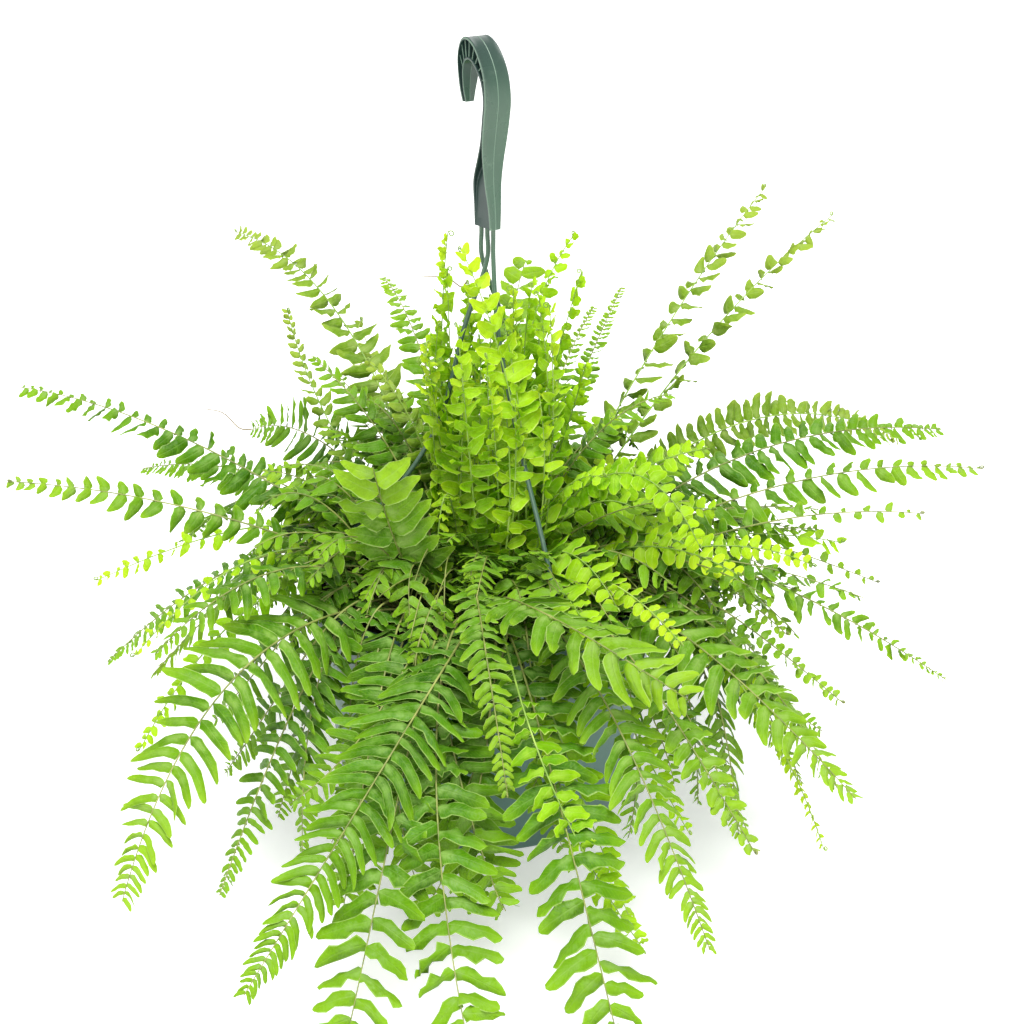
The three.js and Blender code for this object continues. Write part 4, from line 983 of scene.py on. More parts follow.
def make_pot():
    under = POT_HEIGHT - RIM_THICKNESS
    # radius from the axis, height, rounding of the corner
    corners = [
        (0, 0, 0), (FOOT_RING[0], 0, 0), (FOOT_RING[1], FOOT_RING_RISE, FOOT_RING_ROUND),
        (FOOT_RING[2], FOOT_RING_RISE, FOOT_RING_ROUND), (FOOT_RING[3], 0, FOOT_RING_ROUND),
        (POT_BASE_RADIUS, 0, POT_FOOT_ROUND),
        (wall_radius(under), under, UNDER_RIM_ROUND),
        (RIM_RADIUS - RIM_THICKNESS, under, LIP_INNER_ROUND),
        (RIM_RADIUS - RIM_THICKNESS, POT_HEIGHT - RIM_DEPTH, LIP_EDGE_ROUNDS[0]),
        (RIM_RADIUS, POT_HEIGHT - RIM_DEPTH, LIP_EDGE_ROUNDS[1]),
        (RIM_RADIUS, POT_HEIGHT, RIM_TOP_ROUND),
        (inside_radius(POT_HEIGHT), POT_HEIGHT, MOUTH_ROUND),
        (inside_radius(POT_FLOOR), POT_FLOOR, FLOOR_ROUND),
        (0, POT_FLOOR, 0),
    ]
    part = Part()
    turned(part, rounded_profile(corners), POT_SIDES, 0)
    made = part.piece("fern_pot", [POT_PLASTIC], CUT_SHARP_ANGLE)
    holes = []
    for i in range(DRAIN_HOLES):
        at = polar(DRAIN_RING_RADIUS, i * 360 / DRAIN_HOLES)
        holes.append(post(at, -CUT_OVERLAP, POT_FLOOR + CUT_OVERLAP, DRAIN_RADIUS))
    for _, azimuth, _, _ in STRANDS:
        at = polar(STRAND_RING_RADIUS, azimuth)
        holes.append(post(at, under - CUT_OVERLAP, POT_HEIGHT + CUT_OVERLAP, STRAND_HOLE_RADIUS))
    cut(made, holes)
    dress(made, "pot", "pot_plastic")


def make_mix():
    rng = np.random.default_rng(MIX_SEED)
    edge = mix_radius(MIX_EDGE_HEIGHT)
    floor = POT_FLOOR + CLEARANCE
    profile = [(0, floor), (mix_radius(floor) * MIX_FLOOR_RING, floor)]
    profile += [(mix_radius(z), z) for z in (floor, *MIX_WALL_HEIGHTS, MIX_EDGE_HEIGHT)]
    for share in np.linspace(1, 0, MIX_RINGS)[1:]:
        r = edge * share
        top = MIX_TOP_HEIGHT if r < MIX_MOUND_RADIUS else lerp(
            MIX_TOP_HEIGHT, MIX_EDGE_HEIGHT, (r - MIX_MOUND_RADIUS) / (edge - MIX_MOUND_RADIUS))
        profile.append((r, top))
    part = Part()
    turned(part, profile, MIX_SIDES, 0)
    points = part.points[0]
    on_top = points[:, 2] > MIX_EDGE_HEIGHT + MIX_TOLERANCE
    points[on_top, 2] += rng.uniform(*CRUMB_RANGE, on_top.sum()) * CRUMB_HEIGHT
    radius = np.hypot(points[:, 0], points[:, 1])
    angle = np.arctan2(points[:, 1], points[:, 0])
    first, second = (radius / spacing + turns * angle for spacing, turns in HEAVE_WAVES)
    points[on_top, 2] += HEAVE_HEIGHT * (np.sin(first) * np.cos(second))[on_top]
    made = part.piece("fern_growing_mix", [GROWING_MIX], MIX_SHARP_ANGLE)
    dress(made, "growing_mix", "growing_mix")


# ------------------------------------------------------------------------------ hook and strands
HOOK_OPENING = polar(1, HOOK_AZIMUTH)
HOOK_ACROSS = polar(1, HOOK_AZIMUTH - 90)


def hook_point(along, height, across):
    point = HOOK_CENTRE + along * HOOK_OPENING + across * HOOK_ACROSS
    point[2] = height
    return point


def hook_section(depth, width, web):
    """Half of the ring, from the middle of the outer strap to the middle of the inner one."""
    strap = width / 2
    inner = max(strap * INNER_STRAP_SHARE, web / 2 + HOOK_SHELF)
    core = web / 2
    back = depth - HOOK_INNER_STRAP
    flange = min(HOOK_FLANGE_ROUND, (strap - core) / 2)
    lip = min(HOOK_LIP_ROUND, (inner - core) / 2)
    fillet = min(HOOK_WEB_ROUND, (back - HOOK_STRAP) / 3)
    return [
        # the outer strap: its mould line, its flat face, the bead along its edge and its round edge
        (0, -MOULD_LINE_HEIGHT), (MOULD_LINE_WIDTH * 0.5, -MOULD_LINE_HEIGHT * 0.6),
        (MOULD_LINE_WIDTH, 0.02), (strap * 0.5, 0),
        (strap - 1.1, 0.02), (strap - 0.8, -0.16), (strap - 0.4, -0.14), (strap - 0.1, 0.12),
        (strap, 0.55), (strap, HOOK_STRAP - 0.5),
        (strap - flange * 0.3, HOOK_STRAP - 0.12), (strap - flange, HOOK_STRAP),
        # the web between the straps
        (core + flange, HOOK_STRAP), (core, HOOK_STRAP + fillet), (core, (HOOK_STRAP + back) / 2),
        (core, back - fillet), (core + lip, back),
        # the inner strap, up to its mould line
        (inner - lip, back), (inner, back + 0.35), (inner, depth - 0.4),
        (inner - 0.12, depth - 0.1), (inner - 0.5, depth),
        (MOULD_LINE_WIDTH, depth), (0, depth + MOULD_LINE_HEIGHT),
    ]


def hook_frames(shares):
    """Place on the outer line, way in, depth, direction, and sizes at shares of the stations."""
    curve = lambda part: smooth_curve([station[part] for station in HOOK_STATIONS], HOOK_FINE_STEPS)
    outer, inner = curve(0), curve(1)
    sizes = smooth_curve([station[2:] for station in HOOK_STATIONS], HOOK_FINE_STEPS)
    tangents = unit(np.gradient(outer, axis=0))
    for share in shares:
        i = int(round(share * HOOK_FINE_STEPS))
        gap = inner[i] - outer[i]
        yield outer[i], unit(gap), np.linalg.norm(gap), tangents[i], sizes[i]


def hook_place(at, inward, across, deep):
    return hook_point(at[0] + inward[0] * deep, at[1] + inward[1] * deep, across)


HOOK_MATERIALS = [HANGER_PLASTIC, HANGER_SHADE, HANGER_HIGHLIGHT]
# Looks of the strips of a section, from the outer mould line to the inner one: 1 painted shade, 2 painted
# highlight.
HOOK_LOOKS = [2, 2, 0, 0, 0, 0, 0, 2, 2, 1, 1, 1, 1, 1, 1, 1, 1, 1, 1, 2, 2, 0, 2]
# The far half of a section has no painted highlight but on the outer mould line.
HOOK_FAR_LOOKS = [0 if look == 2 else look for look in HOOK_LOOKS]
# A rib's broad faces and the ends of its rim get painted shade, the edges of its rim a painted highlight.
HOOK_RIB_LOOKS = [1, 2, 1, 2]


def give_looks(made, groups):
    """Sets the material of every face: first the triangles at the ends, then the strips of quads."""
    made.data.polygons.foreach_set("material_index", np.concatenate(groups).astype(np.int32))


def make_hook():
    part = Part()
    rings = []
    ends = []
    for at, inward, depth, _, (width, web) in hook_frames(np.linspace(0, 1, HOOK_STEPS + 1)):
        half = hook_section(depth, width, web)
        section = half + [(-across, deep) for across, deep in half[-2:0:-1]]
        rings.append([hook_place(at, inward, across, deep) for across, deep in section])
        ends.append(hook_place(at, inward, 0, depth / 2))
    tube(part, rings, ends[0], ends[-1], 0)
    made = part.piece("fern_hook", HOOK_MATERIALS, HOOK_SHARP_ANGLE)
    # painted shade and painted highlights, strip by strip
    looks = np.array(HOOK_LOOKS[:2] + HOOK_FAR_LOOKS[2:] + HOOK_LOOKS[::-1])
    give_looks(made, [np.zeros(2 * len(rings[0])), np.tile(looks, len(rings) - 1)])
    sockets = []
    for _, _, socket, _ in STRANDS:
        at = hook_point(socket, 0, 0)
        top = HOOK_FOOT_HEIGHT + SOCKET_DEPTH
        sockets.append(post(at, HOOK_FOOT_HEIGHT - SOCKET_OVERLAP, top, STRAND_HOLE_RADIUS))
    cut(made, sockets)
    dress(made, "hook", "hanger_plastic")
    add_hook_ribs(made)


def add_hook_ribs(hook):
    """Small plates with rounded edges across the bend, joined to the hook's mesh."""
    part = Part()
    shares = [lerp(*HOOK_RIB_SPAN, i / (HOOK_RIBS - 1)) for i in range(HOOK_RIBS)]
    for at, inward, depth, tangent, (width, _) in hook_frames(shares):
        side = width * HOOK_RIB_WIDTH / 2
        near, far = HOOK_RIB_SINK, depth - HOOK_RIB_SINK
        along = HOOK_OPENING * tangent[0] + np.array([0, 0, tangent[1]])
        rings = []
        for shift, inset in HOOK_RIB_PROFILE:
            s = side - inset
            corners = [(s, near), (-s, near), (-s, far), (s, far)]
            rings.append([hook_place(at, inward, across, deep) + along * shift * HOOK_RIB_THICKNESS / 2
                          for across, deep in corners])
        tube(part, rings, np.mean(rings[0], axis=0), np.mean(rings[-1], axis=0), 0)
    ribs = part.piece("hook_ribs", HOOK_MATERIALS, HOOK_RIB_SHARP_ANGLE)
    strips = HOOK_RIBS * (len(HOOK_RIB_PROFILE) - 1)
    give_looks(ribs, [np.ones(HOOK_RIBS * 2 * len(HOOK_RIB_LOOKS)), np.tile(HOOK_RIB_LOOKS, strips)])
    join(hook, ribs)


def join(target, other):
    bpy.ops.object.select_all(action="DESELECT")
    for made in (target, other):
        made.select_set(True)
    bpy.context.view_layer.objects.active = target
    bpy.ops.object.join()
    target.select_set(False)


def strand_line(azimuth, socket, bow):
    points = [hook_point(socket, HOOK_FOOT_HEIGHT - STRAND_STUB, 0),
              hook_point(socket, HOOK_FOOT_HEIGHT - STRAND_PLUMB, 0)]
    points += [polar(out, azimuth, height) for out, height in bow]
    points.append(polar(STRAND_RING_RADIUS, azimuth, POT_HEIGHT + STRAND_STUB))
    return smooth_curve(points, STRAND_STEPS, centripetal=True)


def make_strand(name, azimuth, socket, bow):
    line = strand_line(azimuth, socket, bow)
    top = hook_point(socket, HOOK_FOOT_HEIGHT + SOCKET_DEPTH - CLEARANCE, 0)
    hole = polar(STRAND_RING_RADIUS, azimuth)
    under = POT_HEIGHT - RIM_THICKNESS - CLEARANCE
    line = np.vstack([top, line[0] + (0, 0, 1), line[1:-1], hole + (0, 0, POT_HEIGHT + 1),
                      hole + (0, 0, under)])
    part = Part()
    sweep(part, line, STRAND_RADIUS, 0, STRAND_SIDES)
    foot = under - STRAND_KNOB_HEIGHT
    # the knob, from the strand's end under the rim over its flat top and its side to its tip
    heights = [under - 0.01, under - 0.05, under - 0.8, foot + 1.2, foot + 0.3, foot]
    radii = [STRAND_RADIUS, STRAND_KNOB_RADIUS - 0.3, STRAND_KNOB_RADIUS, STRAND_KNOB_RADIUS,
             STRAND_KNOB_RADIUS - 0.7, 0.6]
    sweep(part, [hole + (0, 0, z) for z in heights], radii, 0, STRAND_KNOB_SIDES)
    made = part.piece("fern_" + name, [HANGER_PLASTIC], STRAND_SHARP_ANGLE)
    dress(made, name, "hanger_plastic")


# ------------------------------------------------------------------------------ fronds
class Rib:
    """The line of one row's rib, with its frame at any share of its length."""

    def __init__(self, name, foot, bends, leaflet, kind, style, detail="fine"):
        self.name = name
        self.foot = foot
        self.kind = kind
        self.detail = detail
        self.style = {**COMMON, **KINDS[kind], **style}
        self.look = self.style.get("look", kind)
        self.leaflet = leaflet
        self.roll = math.radians(self.style["roll"])
        self.spin = math.radians(self.style["spin"])
        self.controls = np.array([polar(*foot, MIX_TOP_HEIGHT + 1)] + [polar(*bend) for bend in bends])
        self.level = polar(1, bends[0][1] + 90)
        self.params = np.linspace(0, 1, RIB_SAMPLES)
        line = self.bezier(self.params)[0]
        self.lengths = np.concatenate([[0], np.cumsum(np.linalg.norm(np.diff(line, axis=0), axis=1))])
        self.length = self.lengths[-1]

    def bezier(self, t):
        t = np.asarray(t, float)[:, None]
        points = self.controls
        n = len(points) - 1
        place = sum(math.comb(n, i) * t ** i * (1 - t) ** (n - i) * p for i, p in enumerate(points))
        slopes = n * np.diff(points, axis=0)
        slope = sum(math.comb(n - 1, i) * t ** i * (1 - t) ** (n - 1 - i) * p
                    for i, p in enumerate(slopes))
        return place, unit(slope)

    def frames(self, shares):
        """Places, directions, sides and ups at shares of the rib's length."""
        shares = np.asarray(shares, float)
        place, along = self.bezier(np.interp(shares * self.length, self.lengths, self.params))
        side = unit(self.level - along * (along @ self.level)[:, None])
        roll = self.roll * np.minimum(1, shares / self.style["rolled"])
        side = turn(side, along, roll + self.spin * (shares - SPIN_CENTRE))
        return place, along, side, np.cross(along, side)


def size_share(style, f):
    """Length of a leaflet at a share f of the leafy stretch, as a share of the longest."""
    start, end = style["stretch"]
    rise = lerp(FIRST_LEAFLET, 1, np.sin(np.minimum(1, f / start) * math.pi / 2))
    fall = lerp(1, style["last"], np.maximum(0, (f - end) / (1 - end)) ** style["taper"])
    return rise * fall


def leaflet_places(rib, rng):
    """Share of the rib, share of the leafy stretch and hand (+1 left) of every leaflet."""
    style = rib.style
    widest = style["aspect"] * rib.leaflet
    found = []
    for hand in (1, -1):
        f = 0.0 if hand > 0 else style["lag"] * style["step"] * widest / rib.length
        while f < LEAFY_END:
            width = max(NARROWEST_LEAFLET, widest * float(size_share(style, f)) ** STEP_POWER)
            found.append((lerp(style["bare"], 1, f), f, hand))
            step = width * style["step"] * lerp(1, style["sparse"], f) * rng.uniform(*STEP_RANGE)
            f += step / (rib.length * (1 - style["bare"]))
    return np.array(found).T


def blade_ring(detail):
    """Places round a leaflet's section: over the top from the aft to the fore edge, and back."""
    top = ACROSS[detail]
    across = np.array(top + top[-2:0:-1], float)
    layer = np.array([1.0] * len(top) + [-1.0] * (len(top) - 2))
    return across, layer


def blade_rows(shape, detail):
    rows = np.array(SHAPES[shape])
    return rows if detail == "fine" else rows[sorted({0, 1, 2, 4, len(rows) - 2, len(rows) - 1})]


def leaflet_points(data, shape, detail, fit):
    """Points of a set of leaflets, n x (rows * ring + 2) x 3; a pole at the base and one at the tip."""
    scale, extra_droop, extra_tilt = fit
    across, layer = blade_ring(detail)
    s, fore_half, aft_half = blade_rows(shape, detail).T[:, None, :, None]
    half = np.where(across > 0, fore_half, aft_half)
    col = lambda key: data[key][:, None, None]
    vec = lambda key: data[key][:, None, None, :]
    length = col("length") * scale
    reach = col("width") * math.sqrt(scale) / 2 * half
    ripple = np.sin(2 * math.pi * RIPPLES * s + col("phase") + RIPPLE_SLANT * across) * np.abs(across)
    reach = reach * (1 + col("ripple") * ripple * np.minimum(1, s * RIPPLE_EASE))
    wave = col("wave") * np.sin(2 * math.pi * WAVES * s + col("phase") * WAVE_PHASE + across)
    wave = wave * across ** 2 * np.minimum(1, s * WAVE_EASE) * np.minimum(1, (1 - s) * WAVE_EASE)
    rise = (-col("arch") * across ** 2 * reach + wave - MIDRIB_GROOVE * (across == 0)
            + LEAFLET_THICKNESS / 2 * (1 - across ** 2) * layer)
    tilt = col("tilt") + math.radians(extra_tilt) + col("twist") * s
    cos, sin = np.cos(tilt), np.sin(tilt)
    shift = across * reach
    fore = shift * cos - rise * sin * col("hand")
    lift = rise * cos + shift * sin * col("hand")
    droop = col("droop") + extra_droop
    bow = s * s
    points = (vec("at") + (length * s)[..., None] * vec("out")
              + (length * col("hook") * bow + fore)[..., None] * vec("fore")
              + (lift - length * droop * bow)[..., None] * vec("up"))
    tips = (data["at"] + (data["length"] * scale)[:, None] * (
        data["out"] + data["hook"][:, None] * data["fore"]
        - (data["droop"] + extra_droop)[:, None] * data["up"]))
    flat = points.reshape(len(tips), -1, 3)
    return np.concatenate([flat, data["at"][:, None], tips[:, None]], axis=1)


def subset(data, keep):
    return {key: value[keep] for key, value in data.items()}


# The owner of every claimed cell.
taken = {}


def cell_keys(points):
    """One whole number for each point's cell in a grid around the origin."""
    cells = np.floor(np.asarray(points) / CELL).astype(np.int64) + CELLS // 2
    return (cells[..., 0] * CELLS + cells[..., 1]) * CELLS + cells[..., 2]


def take(points, owner):
    for key in cell_keys(points).ravel().tolist():
        taken.setdefault(key, owner)


def take_line(rib):
    shares = np.linspace(0, 1, int(rib.length / (CELL * LINE_STEP)))
    take(rib.frames(shares)[0], rib.name)


def is_clear(points, owner):
    return all(taken.get(key, owner) == owner for key in cell_keys(points).ravel().tolist())


def in_free_room(points):
    """Above the mix, over or outside the rim, and off the ground."""
    radius = np.hypot(points[..., 0], points[..., 1])
    z = points[..., 2]
    over_mix = (radius < POT_TOP_RADIUS - POT_WALL - LEAF_MARGIN) & (z > MIX_TOP_HEIGHT + LEAF_MARGIN)
    outside = (radius > RIM_RADIUS + LEAF_MARGIN) & (z > LOWEST_LEAF)
    return (over_mix | outside | (z > POT_HEIGHT + LEAF_MARGIN)).all(axis=-1)


def leaflet_data(rib, rng):
    style = rib.style
    shares, f, hand = leaflet_places(rib, rng)
    place, along, side, up = rib.frames(shares)
    count = len(f)
    spread = lambda amount: rng.normal(0, amount, count)
    varied = lambda key: 1 + spread(SPREADS[key])
    lean = np.radians(lerp(*style["lean"], f ** LEAN_POWER) + spread(style["lift"] * LEAN_SPREAD))
    sideways = side * hand[:, None]
    out = unit(sideways * np.cos(lean)[:, None] + along * np.sin(lean)[:, None])
    fore = unit(along * np.cos(lean)[:, None] - sideways * np.sin(lean)[:, None])
    lift = np.radians(spread(style["lift"]))
    out = unit(out + up * np.sin(lift)[:, None])
    up = unit(up - out * np.sum(up * out, axis=1, keepdims=True))
    left, right = style["sides"]
    size = size_share(style, f) * np.where(hand > 0, left, right)
    size = size * rng.uniform(1 - style["ragged"], 1, count)
    length = rib.leaflet * size * varied("length")
    width = style["aspect"] * rib.leaflet * size ** WIDTH_POWER * varied("width")
    width = np.maximum(width, NARROWEST_LEAFLET)
    return {
        "at": place, "out": out, "fore": fore, "up": up, "hand": hand, "f": f,
        "length": np.maximum(length, width * SHORTEST_SHARE), "width": width,
        "hook": style["hook"] * varied("hook"),
        "droop": style["droop"] * varied("droop"),
        "arch": style["arch"] * varied("arch"),
        "tilt": np.radians(BASE_TILT + style["fore_up"] * hand + spread(style["tilt"])),
        "twist": np.radians(spread(style["twist"])),
        "wave": style["wave"] * size * np.abs(varied("wave")),
        "ripple": np.full(count, style["ripple"]),
        "phase": rng.uniform(0, 2 * math.pi, count),
        "chance": rng.uniform(0, 1, count),
    }


def in_the_way(points, shown):
    """Whether points are in front of the rib that is to be seen, beside it by less than a leaflet."""
    view = unit(np.array(SHOWN_SIDE))
    rib_points = shown.frames(SHOWN_SHARES)[0]
    apart = points[:, :, None, :] - rib_points
    ahead = apart @ view
    beside = np.linalg.norm(apart - ahead[..., None] * view, axis=-1)
    return ((ahead > SHOWN_GAP) & (beside < SHOWN_REACH)).any(axis=(1, 2))


def add_leaflets(part, rib, rng, look, shown):
    data = leaflet_data(rib, rng)
    shape = rib.style["shape"]
    rows = len(blade_rows(shape, rib.detail))
    across, _ = blade_ring(rib.detail)
    ring = len(across)
    pending = np.arange(len(data["f"]))
    for number, fit in enumerate(FITS):
        if not len(pending):
            break
        tried = leaflet_points(subset(data, pending), shape, rib.detail, fit)
        free = in_free_room(tried[:, ring:])
        if rib.name != shown.name:
            free &= ~in_the_way(tried[:, ring::2], shown)
        last = number == len(FITS) - 1
        placed = np.zeros(len(pending), bool)
        for i, points in enumerate(tried):
            probe = points[ring:]
            if free[i] and (is_clear(probe, rib.name) or (last and rib.detail == "fine")):
                take(probe, rib.name)
                placed[i] = True
        if placed.any():
            mesh_leaflets(part, subset(data, pending[placed]), tried[placed], rows, across, look)
        pending = pending[~placed]


def mesh_leaflets(part, data, points, rows, across, look):
    ring = len(across)
    quads, triangles = ring_faces(rows, ring)
    size = rows * ring + 2
    blade_uv = np.full((size, 2), 0.5)
    blade_uv[:-2, 0] = np.repeat(np.linspace(*UV_RANGE, rows), ring)
    blade_uv[:-2, 1] = np.tile(across, rows) / 2 + 0.5
    blade_uv[-2:, 0] = (0, 1)
    on_edge = np.zeros(size, bool)
    on_edge[:-2] = np.tile(np.abs(across) == 1, rows)
    on_edge[-2:] = True
    for hand in (1, -1):
        chosen = data["hand"] == hand
        count = int(chosen.sum())
        if not count:
            continue
        shifts = (np.arange(count) * size)[:, None, None]
        order = slice(None) if hand > 0 else slice(None, None, -1)
        faces = [(group[None, :, order] + shifts).reshape(-1, group.shape[1])
                 for group in (quads, triangles)]
        tint = np.stack([data["chance"][chosen], data["f"][chosen]], -1)
        part.add(points[chosen], faces, look, np.tile(blade_uv, (count, 1)),
                 np.repeat(tint, size, axis=0), np.tile(on_edge, count))


def add_rib(part, rib, look):
    steps = max(FEWEST_RIB_STEPS, int(rib.length / RIB_STEP))
    shares = np.linspace(0, 1, steps + 1)
    place, along, _, up = rib.frames(shares)
    radii = lerp(*RIB_HALF_WIDTH, shares)
    buried = polar(*rib.foot, MIX_TOP_HEIGHT - STALK_DEPTH)
    line = np.vstack([buried, place])
    radii = np.concatenate([[radii[0]], radii])
    curl = rib.style["curl"]
    if curl:
        radius = CURL_RADIUS * curl * min(1, rib.leaflet / FULL_CURL_LEAFLET)
        angles = np.linspace(0, 2 * math.pi * CURL_TURNS, CURL_STEPS + 1)[1:]
        shrink = np.linspace(1, CURL_END_SHARE, CURL_STEPS)
        centre = place[-1] + up[-1] * radius
        spiral = centre + radius * shrink[:, None] * (
            np.sin(angles)[:, None] * along[-1] - np.cos(angles)[:, None] * up[-1])
        line = np.vstack([line, spiral])
        radii = np.concatenate([radii, np.linspace(*CURL_HALF_WIDTH, CURL_STEPS)])
    sweep(part, line, radii, look, RIB_SIDES, TIP_RISE)


def add_spikes(part, at, ways, lengths, radius, look):
    """Closed three-sided spikes, for hairs."""
    side = unit(np.cross(ways, SPIKE_SIDE))
    other = np.cross(ways, side)
    corners = [at + radius * (math.cos(a) * side + math.sin(a) * other)
               for a in (0, 2 * math.pi / 3, 4 * math.pi / 3)]
    points = np.stack([*corners, at + ways * lengths[:, None]], axis=1)
    face = np.array([(0, 2, 1), (0, 1, 3), (1, 2, 3), (2, 0, 3)])
    faces = (face[None] + 4 * np.arange(len(at))[:, None, None]).reshape(-1, 3)
    part.add(points, [faces], look)


def around_rib(rib, shares, rng):
    place, along, side, up = rib.frames(shares)
    angle = rng.uniform(0, 2 * math.pi, len(shares))
    outward = side * np.cos(angle)[:, None] + up * np.sin(angle)[:, None]
    return place, along, outward


def add_hairs(part, rib, rng, look):
    count = int(rib.length / HAIR_STEP)
    shares = np.sort(rng.uniform(HAIR_START, 1, count))
    place, along, outward = around_rib(rib, shares, rng)
    radii = lerp(*RIB_HALF_WIDTH, shares)
    at = place + outward * (radii * HAIR_SINK)[:, None]
    ways = unit(outward + along * rng.uniform(*HAIR_LEAN, count)[:, None])
    lengths = HAIR_LENGTH * rng.uniform(*HAIR_LENGTHS, count)
    add_spikes(part, at, ways, lengths, HAIR_RADIUS, look)


def add_scales(part, rib, rng, look):
    """Brown papery scales at the foot of a stalk."""
    shares = rng.uniform(0.0, min(SCALE_REACH_SHARE, SCALE_REACH / rib.length), SCALES)
    place, along, outward = around_rib(rib, shares, rng)
    across = np.cross(along, outward)
    at = place + outward * RIB_HALF_WIDTH[0] * SCALE_ROOT
    length = SCALE_LENGTH * rng.uniform(*SCALE_LENGTHS, SCALES)[:, None]
    way = unit(along + outward * rng.uniform(*SCALE_LEAN, SCALES)[:, None])
    middle = at + way * length * SCALE_WIDEST
    wide = across * SCALE_HALF_WIDTH
    points = np.stack([at, middle + wide, at + way * length, middle - wide,
                       middle + outward * SCALE_RISE, middle - outward * SCALE_SINK], axis=1)
    face = np.array([(0, 1, 4), (1, 2, 4), (2, 3, 4), (3, 0, 4),
                     (1, 0, 5), (2, 1, 5), (3, 2, 5), (0, 3, 5)])
    faces = (face[None, :, ::-1] + 6 * np.arange(SCALES)[:, None, None]).reshape(-1, 3)
    part.add(points, [faces], look)


def main_ribs():
    return [Rib(name, foot, *row) for name, (foot, *rows) in FRONDS.items() for row in rows]


def filler_ribs():
    """Ribs like those of the table; each takes the name of the piece whose foot is nearest to its own."""
    names = list(FRONDS)
    feet = np.array([polar(*foot)[:2] for foot, *_ in FRONDS.values()])
    for seed, (count, azimuths, foot, bends, leaflet, kinds, style) in enumerate(FILLERS, FILLER_SEED):
        rng = np.random.default_rng(seed)
        for i in range(count):
            azimuth = lerp(*azimuths, (i * GOLDEN_SHARE) % 1) + rng.uniform(-FILLER_TURN, FILLER_TURN)
            root = (rng.uniform(*foot), azimuth + rng.uniform(-FILLER_FOOT_TURN, FILLER_FOOT_TURN))
            nearest = np.argmin(np.linalg.norm(feet - polar(*root)[:2], axis=1))
            points = []
            for number, (near, far, low, high) in enumerate(bends):
                radius = rng.uniform(near, far)
                shift = rng.uniform(-FILLER_BEND_TURN, FILLER_BEND_TURN) * number
                points.append((radius, azimuth + shift, rng.uniform(low, high)))
            longest = rng.uniform(*leaflet)
            rolled = {**style, "roll": rng.uniform(-FILLER_ROLL, FILLER_ROLL)}
            yield Rib(names[nearest], root, points, longest, kinds[i % len(kinds)], rolled, "plain")


def make_fronds():
    main = main_ribs()
    shown = next(rib for rib in main if rib.name == SHOWN_FROND)
    for number, (_, azimuth, socket, bow) in enumerate(STRANDS):
        line = strand_line(azimuth, socket, bow)
        take(np.vstack([(line[:-1] + line[1:]) / 2, line]), -1 - number)
    for rib in main:
        take_line(rib)
    parts = {}
    slots = {}
    extra = [Rib(*row) for row in EXTRA_FRONDS]
    for number, rib in enumerate([*main, *extra, *filler_ribs()]):
        rng = np.random.default_rng(LEAFLET_SEED + number)
        part, looks = parts.setdefault(rib.name, (Part(), []))
        slots.setdefault(rib.name, "frond_" + rib.kind)
        if rib.look not in looks:
            looks.append(rib.look)
        look = LOOKS_PER_KIND * looks.index(rib.look)
        take_line(rib)
        add_rib(part, rib, look + 1)
        add_leaflets(part, rib, rng, look, shown)
        add_scales(part, rib, rng, look + 2)
        if rib.kind in HAIRY_KINDS:
            add_hairs(part, rib, rng, look + 3)
    for name, line in RUNNERS:
        radii = np.linspace(*RUNNER_RADII, RUNNER_STEPS + 1)
        sweep(parts[name][0], smooth_curve(line, RUNNER_STEPS), radii, 2, RUNNER_SIDES, TIP_RISE)
    for name, (part, looks) in parts.items():
        materials = []
        for kind in looks:
            materials += [LEAVES[kind], RIBS[kind], SCALE_BROWN, HAIR_PALE]
        made = part.piece("fern_" + name, materials)
        dress(made, "frond_" + name, slots[name])


# ------------------------------------------------------------------------------ camera, light, floor
CAMERA_PLACE = (0.0191, -1.2181, 0.7166)
CAMERA_PITCH = 22.6
CAMERA_LENS = 66.9
CAMERA_SENSOR = 36
WORLD_LIGHT = 0.33
KEY_LIGHT = 4.3
KEY_WIDTH = 34
KEY_TURN = (20, 2, 0)
FLOOR_HALF_WIDTH = 20000
FLOOR_EDGE_RISE = 2500
FLOOR_STEPS = 12
# Name, place, edge length and power of each softbox, and the point that they look at.
SOFTBOXES = [
    ("front", (-0.3, -2.0, 1.6), 1.4, 21),
    ("back", (0.4, 1.7, 1.5), 1.4, 12),
]
SOFTBOX_TARGET = (0, 0, 0.25)


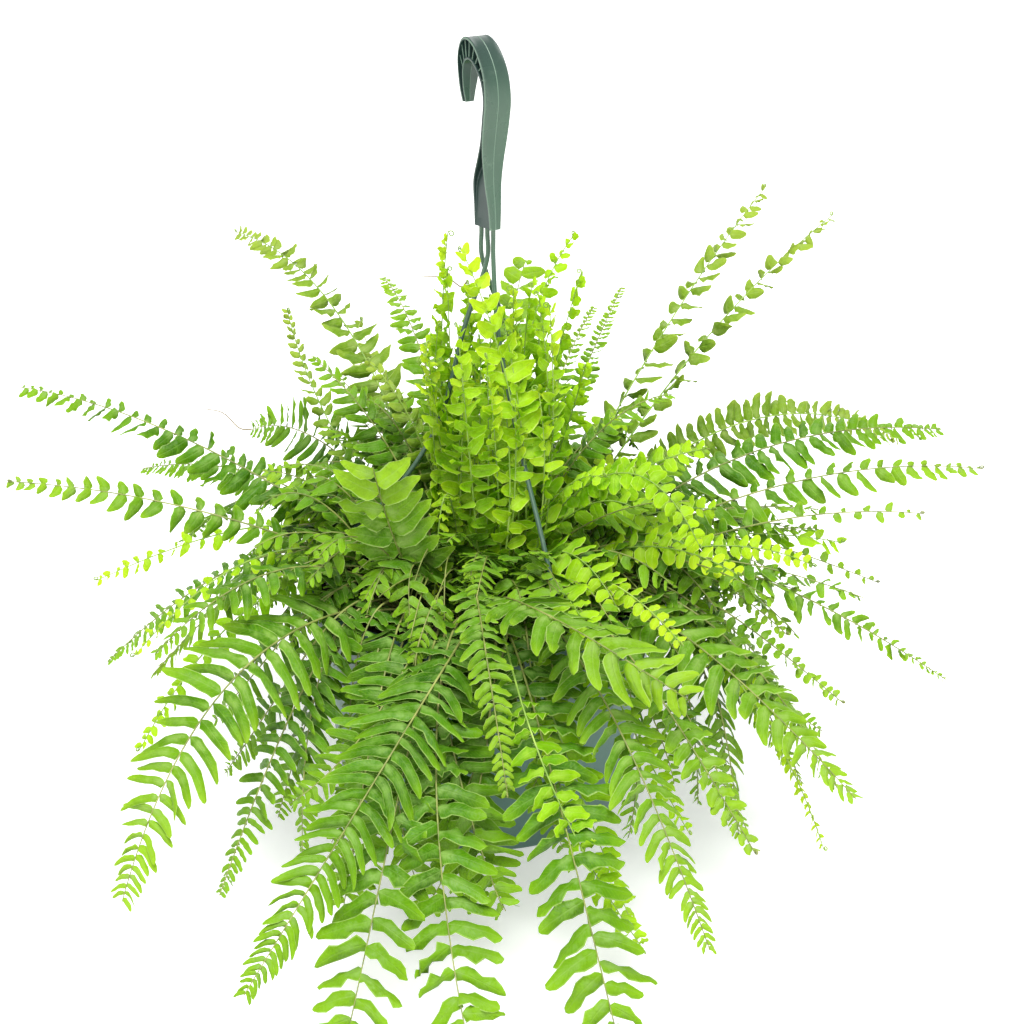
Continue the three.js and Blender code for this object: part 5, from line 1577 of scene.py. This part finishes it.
def set_up(data, place, rotation):
    """Puts a camera or a lamp into the scene; rotation in radians."""
    made = bpy.data.objects.new(data.name, data)
    made.location = place
    made.rotation_euler = rotation
    bpy.context.scene.collection.objects.link(made)
    return made


def make_camera():
    data = bpy.data.cameras.new("camera")
    data.lens = CAMERA_LENS
    data.sensor_width = CAMERA_SENSOR
    pitch = math.radians(90 - CAMERA_PITCH)
    bpy.context.scene.camera = set_up(data, CAMERA_PLACE, (pitch, 0, 0))


def softbox(name, place, size, power):
    data = bpy.data.lights.new(name, "AREA")
    data.shape = "SQUARE"
    data.size = size
    data.energy = power
    x, y, z = np.subtract(SOFTBOX_TARGET, place)
    lamp = set_up(data, place, (math.atan2(math.hypot(x, y), -z), 0, math.atan2(y, x) - math.pi / 2))
    lamp.visible_camera = False


def make_light():
    world = bpy.data.worlds.new("studio")
    world.use_nodes = True
    background = world.node_tree.nodes["Background"]
    background.inputs[0].default_value = (1, 1, 1, 1)
    background.inputs[1].default_value = WORLD_LIGHT
    bpy.context.scene.world = world
    data = bpy.data.lights.new("key", "SUN")
    data.energy = KEY_LIGHT
    data.angle = math.radians(KEY_WIDTH)
    set_up(data, (0, 0, 0), [math.radians(angle) for angle in KEY_TURN])
    for box in SOFTBOXES:
        softbox(*box)


def make_floor():
    """A wide floor whose far edge rises a little, so that low views end on it."""
    part = Part()
    size = FLOOR_HALF_WIDTH
    side = FLOOR_STEPS + 1
    grid = np.linspace(-size, size, side)
    points = [(x, y, FLOOR_EDGE_RISE if max(abs(x), abs(y)) == size else 0) for y in grid for x in grid]
    corners = [j * side + i for j in range(FLOOR_STEPS) for i in range(FLOOR_STEPS)]
    faces = [(k, k + 1, k + side + 1, k + side) for k in corners]
    part.add(points, [np.array(faces)], 0)
    part.piece("floor", [floor_material()])


make_camera()
make_floor()
make_light()
scene = bpy.context.scene
scene.view_settings.view_transform = "Standard"
scene.view_settings.look = "None"

make_pot()
make_mix()
make_hook()
for strand in STRANDS:
    make_strand(*strand)
make_fronds()
